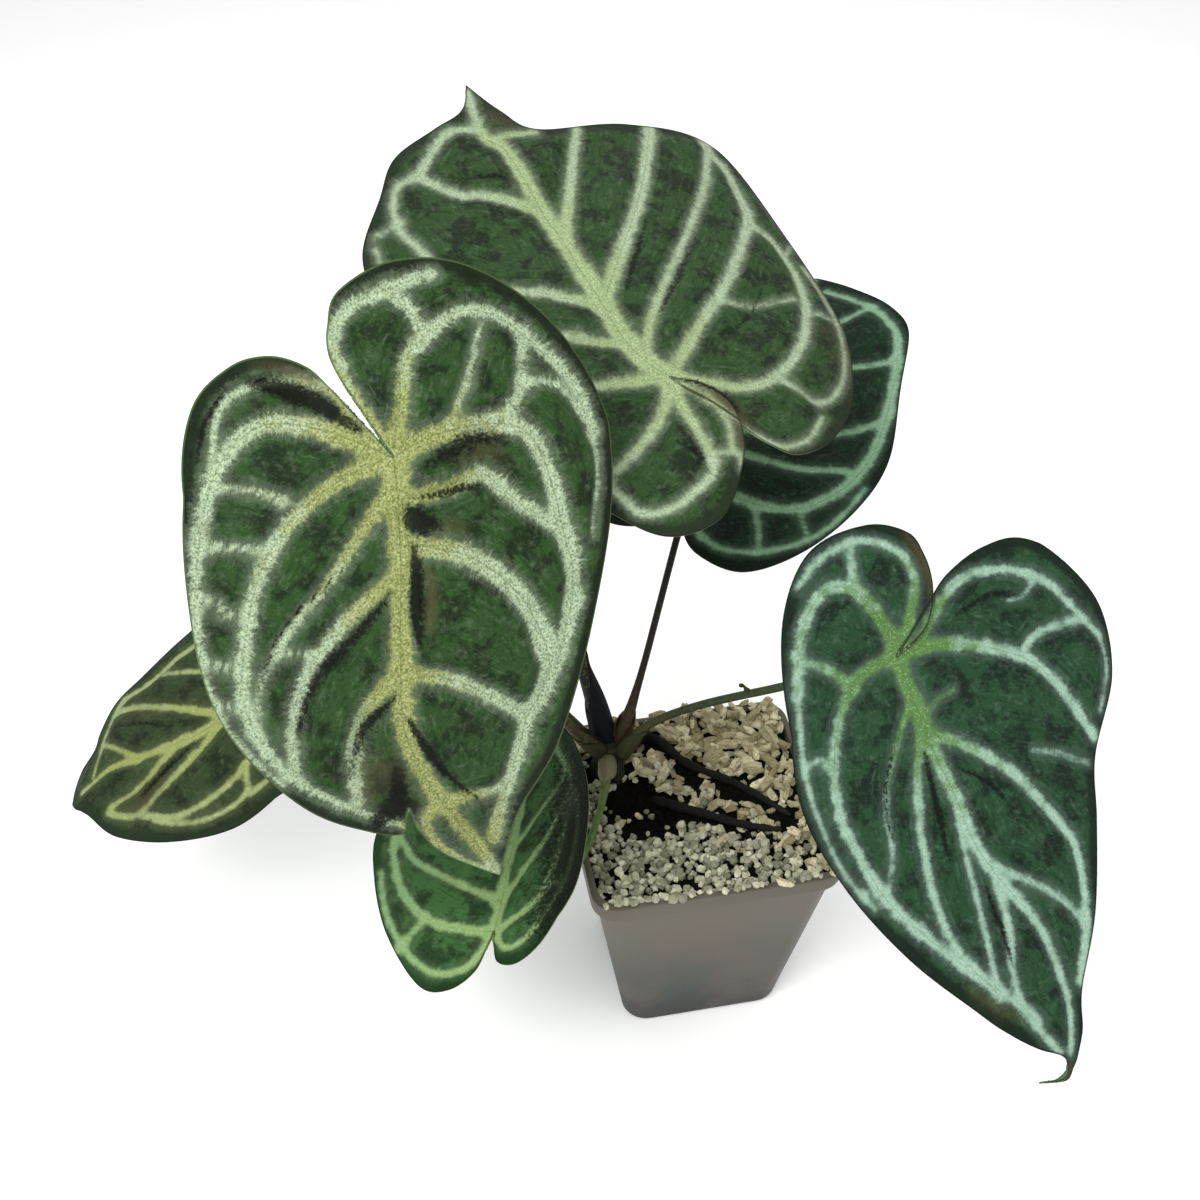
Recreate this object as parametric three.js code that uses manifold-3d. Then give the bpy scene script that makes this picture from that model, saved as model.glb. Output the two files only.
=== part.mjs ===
import * as THREE from 'three';
import { mergeVertices } from 'three/addons/utils/BufferGeometryUtils.js';
import Module from 'manifold-3d';

// A potted dorayaki anthurium: a square nursery pot filled with a coarse bark and pumice mix, a short
// stem near one corner, and six heart-shaped leaves on thin stalks.
// Millimetres, +Z up. The origin is the centre of the pot's base, and X and Y run along its sides.

// Driving dimensions
const pot = {
  lipWidth: 90, baseWidth: 60, height: 88,
  lipHeight: 6, lipOverhang: 2, wall: 1.4, floor: 2,
  topCorner: 9, baseCorner: 9, footRound: 2,
};
const seat = 0.3;
const bladeThickness = 0.8;
const soil = {
  level: 83.5, seed: 11,
  chip: {
    count: 64, length: 9, width: 5, height: 3, rise: 1,
    smallest: 0.75, spread: 0.5, tilt: 40, pitch: 50,
  },
  hollow: { at: [-14, -3, 88], radii: [19, 11, 9] },
};
const stem = { at: [-27, 24], heights: [80, 86.5, 93, 98], radii: [6.5, 6.2, 5.2, 3.5] };
const tubeSides = 8;

const colours = {
  pot: 0x7d756c, soil: 0x9d8f74, stem: 0x3c3a26, stalk: 0x4d4c30, darkStalk: 0x35292a,
  root: 0x2b2822,
  leafA: 0x3f6a3e, leafB: 0x3c5f40, leafC: 0x2c5a48, leafD: 0x2f5646, leafE: 0x55693c, leafF: 0x3c7044,
};

// Leaves. Flat leaf coordinates: x to the leaf's own right, y from the stalk's end along the midrib to
// the tip. "right" and "left" are the two halves' outlines from the stalk's end, round the lobe, to the
// tip. Angles are in degrees: heading is the midrib's compass direction from +Y towards +X, dip its rise
// above the horizontal, roll lifts the right half. droop bends the midrib down over its length, curl
// bends each half down over its width, fold tips each half down at the midrib, rim adds to the curl at
// the edge, sway and arch shift the midrib sideways, and lobeFold tips the lobes behind the stalk.
const leaves = {
  A: {
    at: [-97, -24, 273], heading: 172, dip: -49, roll: 4, length: 141, width: 69,
    droop: 42, curl: [18, 17], fold: [3, 2], sway: -16, arch: 10,
    spine: [[0, 0], [0, 70], [0, 139]],
    right: [[2, -4], [8, -15], [14, -27], [26, -33], [38, -32], [50, -23], [57, -2], [56, 29], [51, 65],
      [38, 96], [21, 111], [12, 107], [9, 118], [4, 129]],
    left: [[2, -5], [8, -16], [12, -26], [12, -36], [5, -47], [-12, -53], [-33, -49], [-55, -32],
      [-69, -6], [-72, 29], [-61, 65], [-41, 96], [-19, 115], [-6, 131]],
  },
  B: {
    at: [-5, 37, 248], heading: -23, dip: 20, roll: -3, length: 134, width: 76,
    droop: -2, lobeDroop: 11, curl: [10, 8], fold: [1, 0], rim: [0, 12], twist: 4, sway: 2,
    lobeFold: [17, 20],
    spine: [[0, 0], [0, 70], [1, 137]],
    right: [[3, -3], [10, -7], [15, -16], [14, -26], [10, -35], [23, -42], [45, -38], [65, -24], [81, 4],
      [88, 44], [85, 86], [50, 103], [16, 110], [7, 122]],
    left: [[1, -3], [8, -8], [12, -16], [10, -27], [2, -39], [-13, -51], [-31, -50], [-43, -36],
      [-54, -10], [-63, 20], [-69, 54], [-66, 83], [-49, 104], [-37, 117], [-19, 123], [-6, 127]],
  },
  C: {
    at: [11, 70, 182], heading: 30, dip: 18, roll: 2, length: 108, width: 66,
    droop: 9, curl: [18, 16], fold: [3, 0], sway: 17,
    spine: [[0, 0], [1, 60], [2, 110]],
    right: [[2, -6], [3, -20], [12, -31], [30, -34], [48, -19], [62, 6], [67, 32], [60, 65], [50, 92],
      [36, 103], [17, 108]],
    left: [[0, -6], [-2, -16], [-10, -24], [-24, -24], [-38, -12], [-48, 6], [-54, 30], [-54, 56],
      [-45, 82], [-24, 101]],
  },
  D: {
    at: [58, -27, 174], heading: 145, dip: -33, roll: -26, length: 135, width: 70,
    droop: 2, curl: [12, 20], fold: [6, 4], twist: 2, sway: 34, arch: 12,
    spine: [[0, 0], [0, 70], [1, 128], [4, 137.5], [14, 134]],
    right: [[-4, -3], [-12, -6], [-19, -11], [-25, -18], [-27, -30], [-18, -40], [2, -44], [22, -32],
      [39, -8], [49, 19], [47, 48], [38, 80], [22, 109], [9, 127], [5, 134], [9, 136.5]],
    left: [[-4, 0], [-12, -3], [-21, -7], [-32, -11], [-48, -11], [-63, -5], [-76, 13], [-81, 31],
      [-73, 50], [-52, 66], [-41, 82], [-25, 104], [-10, 118], [-4, 129], [1, 137], [8, 139]],
  },
  E: {
    at: [-150, 47, 121], heading: 274, dip: -9, roll: 26, length: 79, width: 52,
    droop: 30, curl: [22, 22], fold: [3, 5], twist: -3, sway: -17, arch: -6,
    spine: [[0, 0], [1, 45], [4, 84]],
    right: [[2, -5], [5, -15], [16, -26], [32, -27], [46, -16], [53, 2], [53, 20], [46, 37], [38, 52],
      [33, 65], [24, 72], [16, 72], [14, 81]],
    left: [[0, -5], [-4, -13], [-14, -21], [-26, -16], [-35, -1], [-39, 18], [-33, 44], [-22, 64],
      [-8, 74]],
  },
  F: {
    at: [-81, -56, 102], heading: 19, dip: 8, roll: 20, length: 92, width: 46,
    droop: 9, curl: [16, 9], fold: [-18, -16], sway: -4,
    spine: [[0, 0], [0, 50], [1, 96]],
    right: [[1, -5], [4, -12], [12, -13], [22, -5], [31, 11], [31, 37], [26, 59], [15, 82]],
    left: [[-1, -5], [-4, -15], [-12, -21], [-23, -19], [-37, -2], [-47, 20], [-51, 40], [-43, 64],
      [-20, 86]],
  },
};

// Each stalk's route from the stem to just short of the underside of its leaf, with its radius, and the
// radius and length of the sheath at its foot. A nub is a withered bract at a fraction of the stalk.
const stalks = {
  A: { foot: 2.8, sheath: 14, radius: 1.7,
    route: [[-30, 23, 96], [-46, 21, 121], [-66, 19, 175], [-85, 3, 234]] },
  B: { foot: 3.3, sheath: 30, radius: 1.9,
    route: [[-27, 28, 95], [-31, 33, 112], [-35, 37, 135], [-33, 41, 162], [-25, 43, 190], [-13, 43, 218]] },
  C: { foot: 3.1, sheath: 16, radius: 1.3,
    route: [[-23, 27, 95], [-18, 30, 107], [-11, 38, 123], [-4, 47, 141], [4, 59, 158]] },
  D: { foot: 2.4, sheath: 12, radius: 1.5, nub: 0.47,
    route: [[-23, 21, 95], [-13, 22, 107], [5, 17, 119], [32, 4, 136], [49, -7, 151]] },
  E: { foot: 2.6, sheath: 12, radius: 1.5,
    route: [[-30, 26, 94], [-49, 43, 108], [-86, 49, 118], [-118, 52, 113]] },
  F: { foot: 2.2, sheath: 12, radius: 1.3,
    route: [[-28, 20, 94], [-32, 5, 95], [-37, -7, 94], [-45, -22, 93], [-60, -40, 90]] },
};
// The first stretch of each stalk belongs to the stem, and the last one meets the blade from behind
const stubLength = 11;
const stalkRise = 8;
const stalkClear = 0.5;
const stalkStep = 9;
const nubRise = [[0, 0, 0], [-1, 0, 2.5], [-2.2, 0, 4.4], [-3.6, 0, 4.9]];
const nubRadius = { foot: 1.1, tip: 0.45 };

// Aerial roots that lie in the mix
const rootRadius = { foot: 2.1, tip: 1.2 };
const rootStep = 4;
const roots = {
  long: [[-17, 31, 87], [-8, 32, 87], [2, 17, 86], [18, 3, 86], [33, -13, 85]],
  short: [[-14, 7, 83], [1, -5, 84], [16, -15, 85], [28, -19, 85]],
};

const wasm = await Module();
wasm.setup();

const radians = THREE.MathUtils.degToRad;
const vector = (p) => new THREE.Vector3(...p);

function geometryFrom(points, faces) {
  const geometry = new THREE.BufferGeometry();
  geometry.setAttribute('position', new THREE.Float32BufferAttribute(points.flat(), 3));
  geometry.setIndex(faces.flat());
  return geometry;
}

function toSolid(geometry) {
  const bare = geometry.clone();
  bare.deleteAttribute('normal');
  bare.deleteAttribute('uv');
  const merged = mergeVertices(bare, 1e-4);
  return new wasm.Manifold(new wasm.Mesh({
    numProp: 3,
    vertProperties: Float32Array.from(merged.attributes.position.array),
    triVerts: Uint32Array.from(merged.index.array),
  }));
}

function fromSolid(solid) {
  const mesh = solid.getMesh();
  const geometry = new THREE.BufferGeometry();
  geometry.setAttribute('position', new THREE.Float32BufferAttribute(mesh.vertProperties, 3));
  geometry.setIndex(Array.from(mesh.triVerts));
  return geometry;
}

// Joins rings of equal point count into one closed body, with a flat cap on the first and last ring.
// The rings run anticlockwise seen from the last one's side.
function loft(rings) {
  const count = rings[0].length;
  const points = rings.flat();
  const faces = [];
  for (let r = 0; r + 1 < rings.length; r += 1) {
    for (let i = 0; i < count; i += 1) {
      const a = r * count + i;
      const b = r * count + (i + 1) % count;
      faces.push([a, b, b + count], [a, b + count, a + count]);
    }
  }
  const last = (rings.length - 1) * count;
  for (let i = 1; i + 1 < count; i += 1) {
    faces.push([0, i + 1, i]);
    faces.push([last, last + i, last + i + 1]);
  }
  return geometryFrom(points, faces);
}

function squareRing(half, corner, z) {
  const steps = 4;
  const ring = [];
  for (let quarter = 0; quarter < 4; quarter += 1) {
    for (let i = 0; i <= steps; i += 1) {
      const angle = (quarter + i / steps) * Math.PI / 2;
      const sideX = quarter === 0 || quarter === 3 ? 1 : -1;
      const sideY = quarter < 2 ? 1 : -1;
      ring.push([sideX * (half - corner) + corner * Math.cos(angle),
        sideY * (half - corner) + corner * Math.sin(angle), z]);
    }
  }
  return ring;
}

// Half width of the pot's outer wall at a height
function wallHalf(z) {
  const top = pot.lipWidth / 2 - pot.lipOverhang;
  const rise = z / (pot.height - pot.lipHeight);
  return pot.baseWidth / 2 + (top - pot.baseWidth / 2) * rise;
}

function potGeometry() {
  const lipFoot = pot.height - pot.lipHeight;
  const lipHalf = pot.lipWidth / 2;
  const ledge = 0.8;
  return loft([
    squareRing(pot.baseWidth / 2 - pot.footRound, pot.baseCorner - pot.footRound, 0),
    squareRing(wallHalf(pot.footRound), pot.baseCorner, pot.footRound),
    squareRing(wallHalf(lipFoot), pot.topCorner, lipFoot),
    squareRing(lipHalf - ledge / 2, pot.topCorner, lipFoot),
    squareRing(lipHalf, pot.topCorner, lipFoot + ledge),
    squareRing(lipHalf, pot.topCorner, pot.height - ledge),
    squareRing(lipHalf - ledge, pot.topCorner - ledge, pot.height),
    squareRing(wallHalf(pot.height) - pot.wall, pot.topCorner - pot.wall, pot.height),
    squareRing(wallHalf(pot.floor) - pot.wall, pot.baseCorner - pot.wall, pot.floor),
  ]);
}

// A repeatable row of numbers between 0 and 1
function randomDraws(seed) {
  const multiplier = 16807;
  const modulus = 2147483647;
  let state = seed;
  return () => {
    state = (state * multiplier) % modulus;
    return state / modulus;
  };
}

// The mix: a block that fills the pot, with bark chips proud of it, a hollow, and beds for what lies in it
function soilGeometry(bedded) {
  const inside = (z) => wallHalf(z) - pot.wall - seat;
  const corner = pot.baseCorner - pot.wall - seat;
  const foot = pot.floor + seat;
  let solid = toSolid(loft([
    squareRing(inside(foot), corner, foot),
    squareRing(inside(soil.level), corner, soil.level),
  ]));
  const hollow = new THREE.SphereGeometry(1, 12, 8);
  hollow.scale(...soil.hollow.radii);
  hollow.translate(...soil.hollow.at);
  const hollowSolid = toSolid(hollow);
  const random = randomDraws(soil.seed);
  const { chip } = soil;
  const reach = inside(soil.level) - chip.length / 2 - 1;
  for (let i = 0; i < chip.count; i += 1) {
    const size = (chip.smallest + chip.spread * random()) / 2;
    const piece = new THREE.IcosahedronGeometry(1, 0);
    piece.scale(chip.length * size, chip.width * size, chip.height * size);
    piece.rotateX(radians(chip.tilt * (random() - 0.5)));
    piece.rotateY(radians(chip.pitch * (random() - 0.5)));
    piece.rotateZ(Math.PI * random());
    piece.translate(reach * (2 * random() - 1), reach * (2 * random() - 1),
      soil.level + chip.rise * random());
    solid = solid.add(toSolid(piece));
  }
  solid = solid.subtract(hollowSolid);
  bedded.forEach((geometry) => {
    solid = solid.subtract(toSolid(geometry));
  });
  return fromSolid(solid);
}

// A closed tube along a smooth curve between two of its fractions, with a radius for each fraction
function tube(curve, from, to, steps, radiusAt, sides = tubeSides) {
  const frames = curve.computeFrenetFrames(steps, false);
  const rings = [];
  for (let i = 0; i <= steps; i += 1) {
    const t = Math.min(from + (to - from) * i / steps, 1);
    const centre = curve.getPointAt(t);
    const tangent = curve.getTangentAt(t);
    const across = frames.normals[i].clone().projectOnPlane(tangent).normalize();
    const along = tangent.clone().cross(across);
    const ring = [];
    for (let k = 0; k < sides; k += 1) {
      const angle = k / sides * 2 * Math.PI;
      const radius = radiusAt(t);
      ring.push(centre.clone()
        .addScaledVector(across, radius * Math.cos(angle))
        .addScaledVector(along, radius * Math.sin(angle)).toArray());
    }
    rings.push(ring);
  }
  return loft(rings);
}

// The leaf's frame: x across to its right, y along the midrib at the stalk's end, z out of its face
function leafBasis(leaf) {
  const heading = radians(leaf.heading);
  const dip = radians(leaf.dip);
  const roll = radians(leaf.roll);
  const midrib = new THREE.Vector3(Math.sin(heading) * Math.cos(dip), Math.cos(heading) * Math.cos(dip),
    Math.sin(dip));
  const level = new THREE.Vector3(Math.cos(heading), -Math.sin(heading), 0);
  const upright = level.clone().cross(midrib);
  const right = level.clone().multiplyScalar(Math.cos(roll)).addScaledVector(upright, Math.sin(roll));
  const face = right.clone().cross(midrib);
  return new THREE.Matrix4().makeBasis(right, midrib, face).setPosition(vector(leaf.at));
}

// Where a point of the flat leaf lies once the leaf is bent, in the leaf's frame. The fold at the midrib
// fades out in the lobes, over this share of the leaf's length.
const foldReach = 1 / 3;
function bend(leaf, x, y) {
  const side = x < 0 ? 0 : 1;
  const u = y / leaf.length;
  const rate = radians(u >= 0 ? leaf.droop : leaf.lobeDroop ?? 0) / leaf.length;
  const slope = rate * y;
  const along = rate === 0 ? y : Math.sin(slope) / rate;
  const sink = rate === 0 ? 0 : (1 - Math.cos(slope)) / rate;
  const q = Math.abs(x) / leaf.width;
  const behind = Math.min(Math.max(-u, 0), 1);
  const foldShare = Math.min(Math.max(1 + u / foldReach, 0), 1);
  const start = leaf.fold[side] * foldShare + (leaf.lobeFold?.[side] ?? 0) * behind;
  const steps = 8;
  let across = 0;
  let height = 0;
  for (let i = 0; i < steps; i += 1) {
    const p = q * (i + 0.5) / steps;
    const angle = radians(start + leaf.curl[side] * p + (leaf.rim?.[side] ?? 0) * p ** 4);
    across += Math.cos(angle) * Math.abs(x) / steps;
    height -= Math.sin(angle) * Math.abs(x) / steps;
  }
  across *= side === 0 ? -1 : 1;
  const twist = radians(leaf.twist ?? 0) * Math.max(u, 0);
  const turned = across * Math.cos(twist) - height * Math.sin(twist);
  const lifted = across * Math.sin(twist) + height * Math.cos(twist);
  const forward = Math.max(u, 0);
  const shift = (leaf.sway ?? 0) * forward ** 3
    + (leaf.arch ?? 0) * Math.sin(Math.PI * Math.min(forward, 1));
  return new THREE.Vector3(turned + shift, along + lifted * Math.sin(slope),
    -sink + lifted * Math.cos(slope));
}

function bentNormal(leaf, x, y) {
  const step = 0.5;
  const dx = bend(leaf, x + step, y).sub(bend(leaf, x - step, y));
  const dy = bend(leaf, x, y + step).sub(bend(leaf, x, y - step));
  return dx.cross(dy).normalize();
}

// A blade is one sheet of thin triangles: both halves run from the midrib to the outline
function bladeGeometry(leaf) {
  const rows = 4;
  const lobeShare = 0.42;
  const footBias = 1.15;
  const spine = new THREE.SplineCurve(leaf.spine.map(([x, y]) => new THREE.Vector2(x, y)));
  const sheet = [];
  const index = new Map();
  const place = (x, y) => {
    const key = `${x.toFixed(3)},${y.toFixed(3)}`;
    if (!index.has(key)) {
      index.set(key, sheet.length);
      sheet.push([x, y]);
    }
    return index.get(key);
  };
  const faces = [];
  const edge = [];
  const columns = 2 * (Math.max(leaf.right.length, leaf.left.length) + 1);
  [[leaf.right, 1], [leaf.left, -1]].forEach(([half, turn]) => {
    const outline = [[0, 0], ...half, leaf.spine.at(-1)];
    const curve = new THREE.SplineCurve(outline.map(([x, y]) => new THREE.Vector2(x, y)));
    const grid = [];
    for (let i = 1; i <= columns; i += 1) {
      const share = i / columns;
      const footShare = Math.max((share - lobeShare) / (1 - lobeShare), 0) ** footBias;
      const foot = spine.getPoint(footShare);
      const rim = curve.getPoint(share);
      const column = [];
      for (let j = 0; j <= rows; j += 1) {
        const point = foot.clone().lerp(rim, j / rows);
        column.push(place(point.x, point.y));
      }
      grid.push(column);
    }
    const addEdge = (from, to) => edge.push(turn > 0 ? [from, to] : [to, from]);
    for (let j = 0; j < rows; j += 1) addEdge(grid[0][j], grid[0][j + 1]);
    for (let i = 0; i + 1 < grid.length; i += 1) {
      for (let j = 0; j < rows; j += 1) {
        const [a, b] = [grid[i][j], grid[i + 1][j]];
        const [c, d] = [grid[i + 1][j + 1], grid[i][j + 1]];
        [[a, b, c], [a, c, d]].forEach(([p, q, r]) => {
          if (p !== q && q !== r && r !== p) faces.push(turn > 0 ? [p, r, q] : [p, q, r]);
        });
      }
      addEdge(grid[i][rows], grid[i + 1][rows]);
    }
  });
  const top = sheet.map(([x, y]) => bend(leaf, x, y)
    .addScaledVector(bentNormal(leaf, x, y), bladeThickness / 2).toArray());
  const under = sheet.map(([x, y]) => bend(leaf, x, y)
    .addScaledVector(bentNormal(leaf, x, y), -bladeThickness / 2).toArray());
  const count = sheet.length;
  const closed = [];
  faces.forEach(([a, b, c]) => closed.push([a, b, c], [a + count, c + count, b + count]));
  edge.forEach(([a, b]) => closed.push([b, a, a + count], [b, a + count, b + count]));
  return geometryFrom([...top, ...under], closed);
}

function stalkCurve(name) {
  const basis = leafBasis(leaves[name]);
  const clear = bladeThickness / 2 + stalkClear;
  const end = new THREE.Vector3(0, 0, -clear).applyMatrix4(basis);
  const below = new THREE.Vector3(0, 0, -stalkRise).applyMatrix4(basis);
  return new THREE.CatmullRomCurve3([...stalks[name].route.map(vector), below, end], false,
    'catmullrom', 0.5);
}

// The sheathed foot narrows smoothly to the stalk
function stalkRadius(name) {
  const { foot, radius, sheath } = stalks[name];
  const length = stalkCurve(name).getLength();
  return (t) => radius + (foot - radius) * Math.exp(-((t * length / sheath) ** 2));
}

// The stem and the sheathed feet of the stalks grow together as one piece
function stemGeometry(grow) {
  const count = 12;
  const ring = (radius, z) => Array.from({ length: count }, (_, i) => {
    const angle = i / count * 2 * Math.PI;
    return [stem.at[0] + (radius + grow) * Math.cos(angle),
      stem.at[1] + (radius + grow) * Math.sin(angle), z];
  });
  const rings = stem.heights.map((z, i) => ring(stem.radii[i], i === 0 ? z - grow : z));
  let solid = toSolid(loft(rings));
  Object.keys(stalks).forEach((name) => {
    const curve = stalkCurve(name);
    const share = stubLength / curve.getLength();
    const radiusAt = stalkRadius(name);
    solid = solid.add(toSolid(tube(curve, 0, share, 4, (t) => radiusAt(t) + grow)));
  });
  return fromSolid(solid);
}

function stalkGeometry(name) {
  const curve = stalkCurve(name);
  const length = curve.getLength();
  const steps = Math.round(length / stalkStep);
  const stalk = tube(curve, (stubLength + seat) / length, 1, steps, stalkRadius(name));
  const { nub } = stalks[name];
  if (nub === undefined) return stalk;
  const base = curve.getPointAt(nub);
  const route = new THREE.CatmullRomCurve3(nubRise.map((step) => base.clone().add(vector(step))));
  const bract = tube(route, 0, 1, 4, (t) => nubRadius.foot + (nubRadius.tip - nubRadius.foot) * t);
  return fromSolid(toSolid(stalk).add(toSolid(bract)));
}

// A root thins towards its tip, and both its ends are rounded
function rootGeometry(route, grow) {
  const curve = new THREE.CatmullRomCurve3(route.map(vector));
  const endShare = 0.2;
  const radiusAt = (t) => {
    const round = Math.sqrt(Math.max(1 - (2 * t - 1) ** 8, endShare));
    return grow + (rootRadius.foot + (rootRadius.tip - rootRadius.foot) * t) * round;
  };
  return tube(curve, 0, 1, Math.round(curve.getLength() / rootStep), radiusAt);
}

function mesh(name, geometry, colour, roughness) {
  const flat = geometry.toNonIndexed();
  flat.computeVertexNormals();
  const material = new THREE.MeshStandardMaterial({ color: colour, roughness, metalness: 0 });
  const made = new THREE.Mesh(flat, material);
  made.name = name;
  return made;
}

const plant = new THREE.Group();
plant.add(mesh('pot', potGeometry(), colours.pot, 0.75));

const bedded = [stemGeometry(seat), rootGeometry(roots.long, seat), rootGeometry(roots.short, seat)];
plant.add(mesh('substrate', soilGeometry(bedded), colours.soil, 0.95));
plant.add(mesh('stem', stemGeometry(0), colours.stem, 0.7));
plant.add(mesh('aerial_root_long', rootGeometry(roots.long, 0), colours.root, 0.8));
plant.add(mesh('aerial_root_short', rootGeometry(roots.short, 0), colours.root, 0.8));

Object.keys(leaves).forEach((name) => {
  const letter = name.toLowerCase();
  const stalkColour = name === 'B' || name === 'C' ? colours.darkStalk : colours.stalk;
  plant.add(mesh(`stalk_${letter}`, stalkGeometry(name), stalkColour, 0.6));
  const blade = mesh(`blade_${letter}`, bladeGeometry(leaves[name]), colours[`leaf${name}`], 0.45);
  blade.applyMatrix4(leafBasis(leaves[name]));
  plant.add(blade);
});

export default plant;
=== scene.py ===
# %% [markdown]
# # A potted dorayaki anthurium
# This lesson dresses a small house plant: six heart-shaped leaves on thin stalks, a short stem and two
# roots in a square nursery pot. The solid model comes first, as the frame that every piece is fitted to.
# All lengths in the tables below are millimetres, and one function turns them into Blender's metres.

# %% Load the frame
import math
from functools import partial
from itertools import product

import bpy
import numpy as np
from mathutils import Matrix, Vector, noise


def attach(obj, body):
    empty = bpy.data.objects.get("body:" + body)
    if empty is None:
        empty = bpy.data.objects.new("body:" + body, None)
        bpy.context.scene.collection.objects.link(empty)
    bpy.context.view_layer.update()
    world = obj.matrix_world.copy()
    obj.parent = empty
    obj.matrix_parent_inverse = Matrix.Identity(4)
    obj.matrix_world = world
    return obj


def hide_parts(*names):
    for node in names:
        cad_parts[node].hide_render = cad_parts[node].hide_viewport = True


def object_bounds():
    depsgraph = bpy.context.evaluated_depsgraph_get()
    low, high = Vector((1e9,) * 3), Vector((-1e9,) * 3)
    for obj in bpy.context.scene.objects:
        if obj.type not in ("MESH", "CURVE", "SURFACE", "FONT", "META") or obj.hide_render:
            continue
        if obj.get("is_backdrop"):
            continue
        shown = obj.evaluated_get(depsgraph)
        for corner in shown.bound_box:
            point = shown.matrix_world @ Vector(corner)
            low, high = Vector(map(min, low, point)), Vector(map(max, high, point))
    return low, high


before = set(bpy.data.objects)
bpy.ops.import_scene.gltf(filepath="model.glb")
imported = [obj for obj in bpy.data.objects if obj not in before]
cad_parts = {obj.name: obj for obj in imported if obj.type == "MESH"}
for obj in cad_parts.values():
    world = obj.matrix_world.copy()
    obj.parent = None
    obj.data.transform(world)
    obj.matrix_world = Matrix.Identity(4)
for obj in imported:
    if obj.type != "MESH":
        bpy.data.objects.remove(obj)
cad_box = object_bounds()
MM = 0.001
print("solid model, mm:", [[round(c / MM) for c in corner] for corner in cad_box])

# %% [markdown]
# ## The camera
# The photograph looks down on the plant from about 0.7 m away. The angle and distance come from the pot:
# a square rim of known width is seen with its four corners, and only one camera sees them like that.

# %% Camera
CAMERA_PLACE = (-112, -397, 542)
CAMERA_HEADING = 11
CAMERA_DIP = 41

bpy.ops.object.camera_add(
    location=[c * MM for c in CAMERA_PLACE],
    rotation=(math.radians(90 - CAMERA_DIP), 0, math.radians(-CAMERA_HEADING)),
)
camera = bpy.context.object
camera.data.lens = 50
camera.data.sensor_width = 36
bpy.context.scene.camera = camera
print("camera to the pot's foot, mm:", round(math.dist(CAMERA_PLACE, (0, 0, 0))))

# %% [markdown]
# ## Floor and light
# A pale floor and three large soft lights stand in for a photographer's white table. Large lights close
# to the plant give the soft shadow under the leaves, and the white world fills the rest.

# %% Floor, lights and world
# Sheet paper, matt and white: it shows the soft shadow and nothing else
paper = bpy.data.materials.new("matt white paper")
paper.use_nodes = True
paper_shader = paper.node_tree.nodes["Principled BSDF"]
paper_shader.inputs["Base Color"].default_value = (0.98, 0.98, 0.98, 1)
paper_shader.inputs["Roughness"].default_value = 0.95
paper_shader.inputs["Emission Color"].default_value = (1, 1, 1, 1)
paper_shader.inputs["Emission Strength"].default_value = 0.12
bpy.ops.mesh.primitive_plane_add(size=6, location=(0, 0, 0))
floor = bpy.context.object
floor.name = "floor"
floor.data.materials.append(paper)
floor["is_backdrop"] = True

PLANT_MIDDLE = (0, 0, 150)
LIGHTS = {
    "key": {"place": (-380, -420, 900), "size": 0.5, "power": 7},
    "fill": {"place": (650, -350, 600), "size": 0.7, "power": 2.2},
    "back": {"place": (100, 700, 800), "size": 0.7, "power": 2.6},
}
for name, light in LIGHTS.items():
    place = Vector(light["place"]) * MM
    aim = Vector(PLANT_MIDDLE) * MM - place
    bpy.ops.object.light_add(type="AREA", location=place)
    lamp = bpy.context.object
    lamp.name = name
    lamp.rotation_euler = aim.to_track_quat("-Z", "Y").to_euler()
    lamp.data.size = light["size"]
    lamp.data.energy = light["power"]

world = bpy.data.worlds.new("studio")
bpy.context.scene.world = world
world.use_nodes = True
world.node_tree.nodes["Background"].inputs["Color"].default_value = (1, 1, 1, 1)
world.node_tree.nodes["Background"].inputs["Strength"].default_value = 0.62
bpy.context.scene.view_settings.view_transform = "Standard"
print("lights:", ", ".join(LIGHTS))

# %% [markdown]
# ## Small helpers for materials
# Colours are written as they look on a screen, and one function turns them to the linear values that a
# shader needs. Another adds a node with its settings and links, so each material reads as a short recipe.

# %% Material helpers
BLEND = {"data_type": "RGBA", "out": 2}
SOFT = {"interpolation_type": "SMOOTHSTEP"}


def linear(colour):
    """The shader colour of a screen colour such as 0x4A6B3C."""
    parts = [(colour >> shift & 255) / 255 for shift in (16, 8, 0)]
    return [c / 12.92 if c <= 0.04045 else ((c + 0.055) / 1.055) ** 2.4 for c in parts] + [1]


def marks(size):
    """The scale of a pattern whose marks are this many millimetres across."""
    return 1 / (size * MM)


def fill(node, inputs):
    """Sets a node's inputs. Each is a number, a colour, or the output of another node."""
    for key, value in inputs.items():
        if isinstance(value, bpy.types.NodeSocket):
            node.id_data.links.new(value, node.inputs[key])
        else:
            node.inputs[key].default_value = value


def add_node(tree, kind, inputs=(), out=0, **settings):
    """Adds a node with its settings and links, and returns one of its outputs."""
    node = tree.nodes.new("ShaderNode" + kind)
    for key, value in settings.items():
        setattr(node, key, value)
    fill(node, dict(inputs))
    return node.outputs[out]


def start_material(name):
    """A new material, its shader, and the function that adds nodes to it."""
    material = bpy.data.materials.new(name)
    material.use_nodes = True
    shader = material.node_tree.nodes["Principled BSDF"]
    return material, shader, partial(add_node, material.node_tree)


# %% [markdown]
# ## Small helpers for pieces
# An operator acts on all that is selected, so each piece starts with nothing selected. A finished piece
# has its place in its mesh, and its object stays at the origin.

# %% Piece helpers
def start_piece():
    """Nothing is selected, and the mode is Object Mode."""
    if bpy.context.object and bpy.context.object.mode != "OBJECT":
        bpy.ops.object.mode_set(mode="OBJECT")
    bpy.ops.object.select_all(action="DESELECT")


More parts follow.
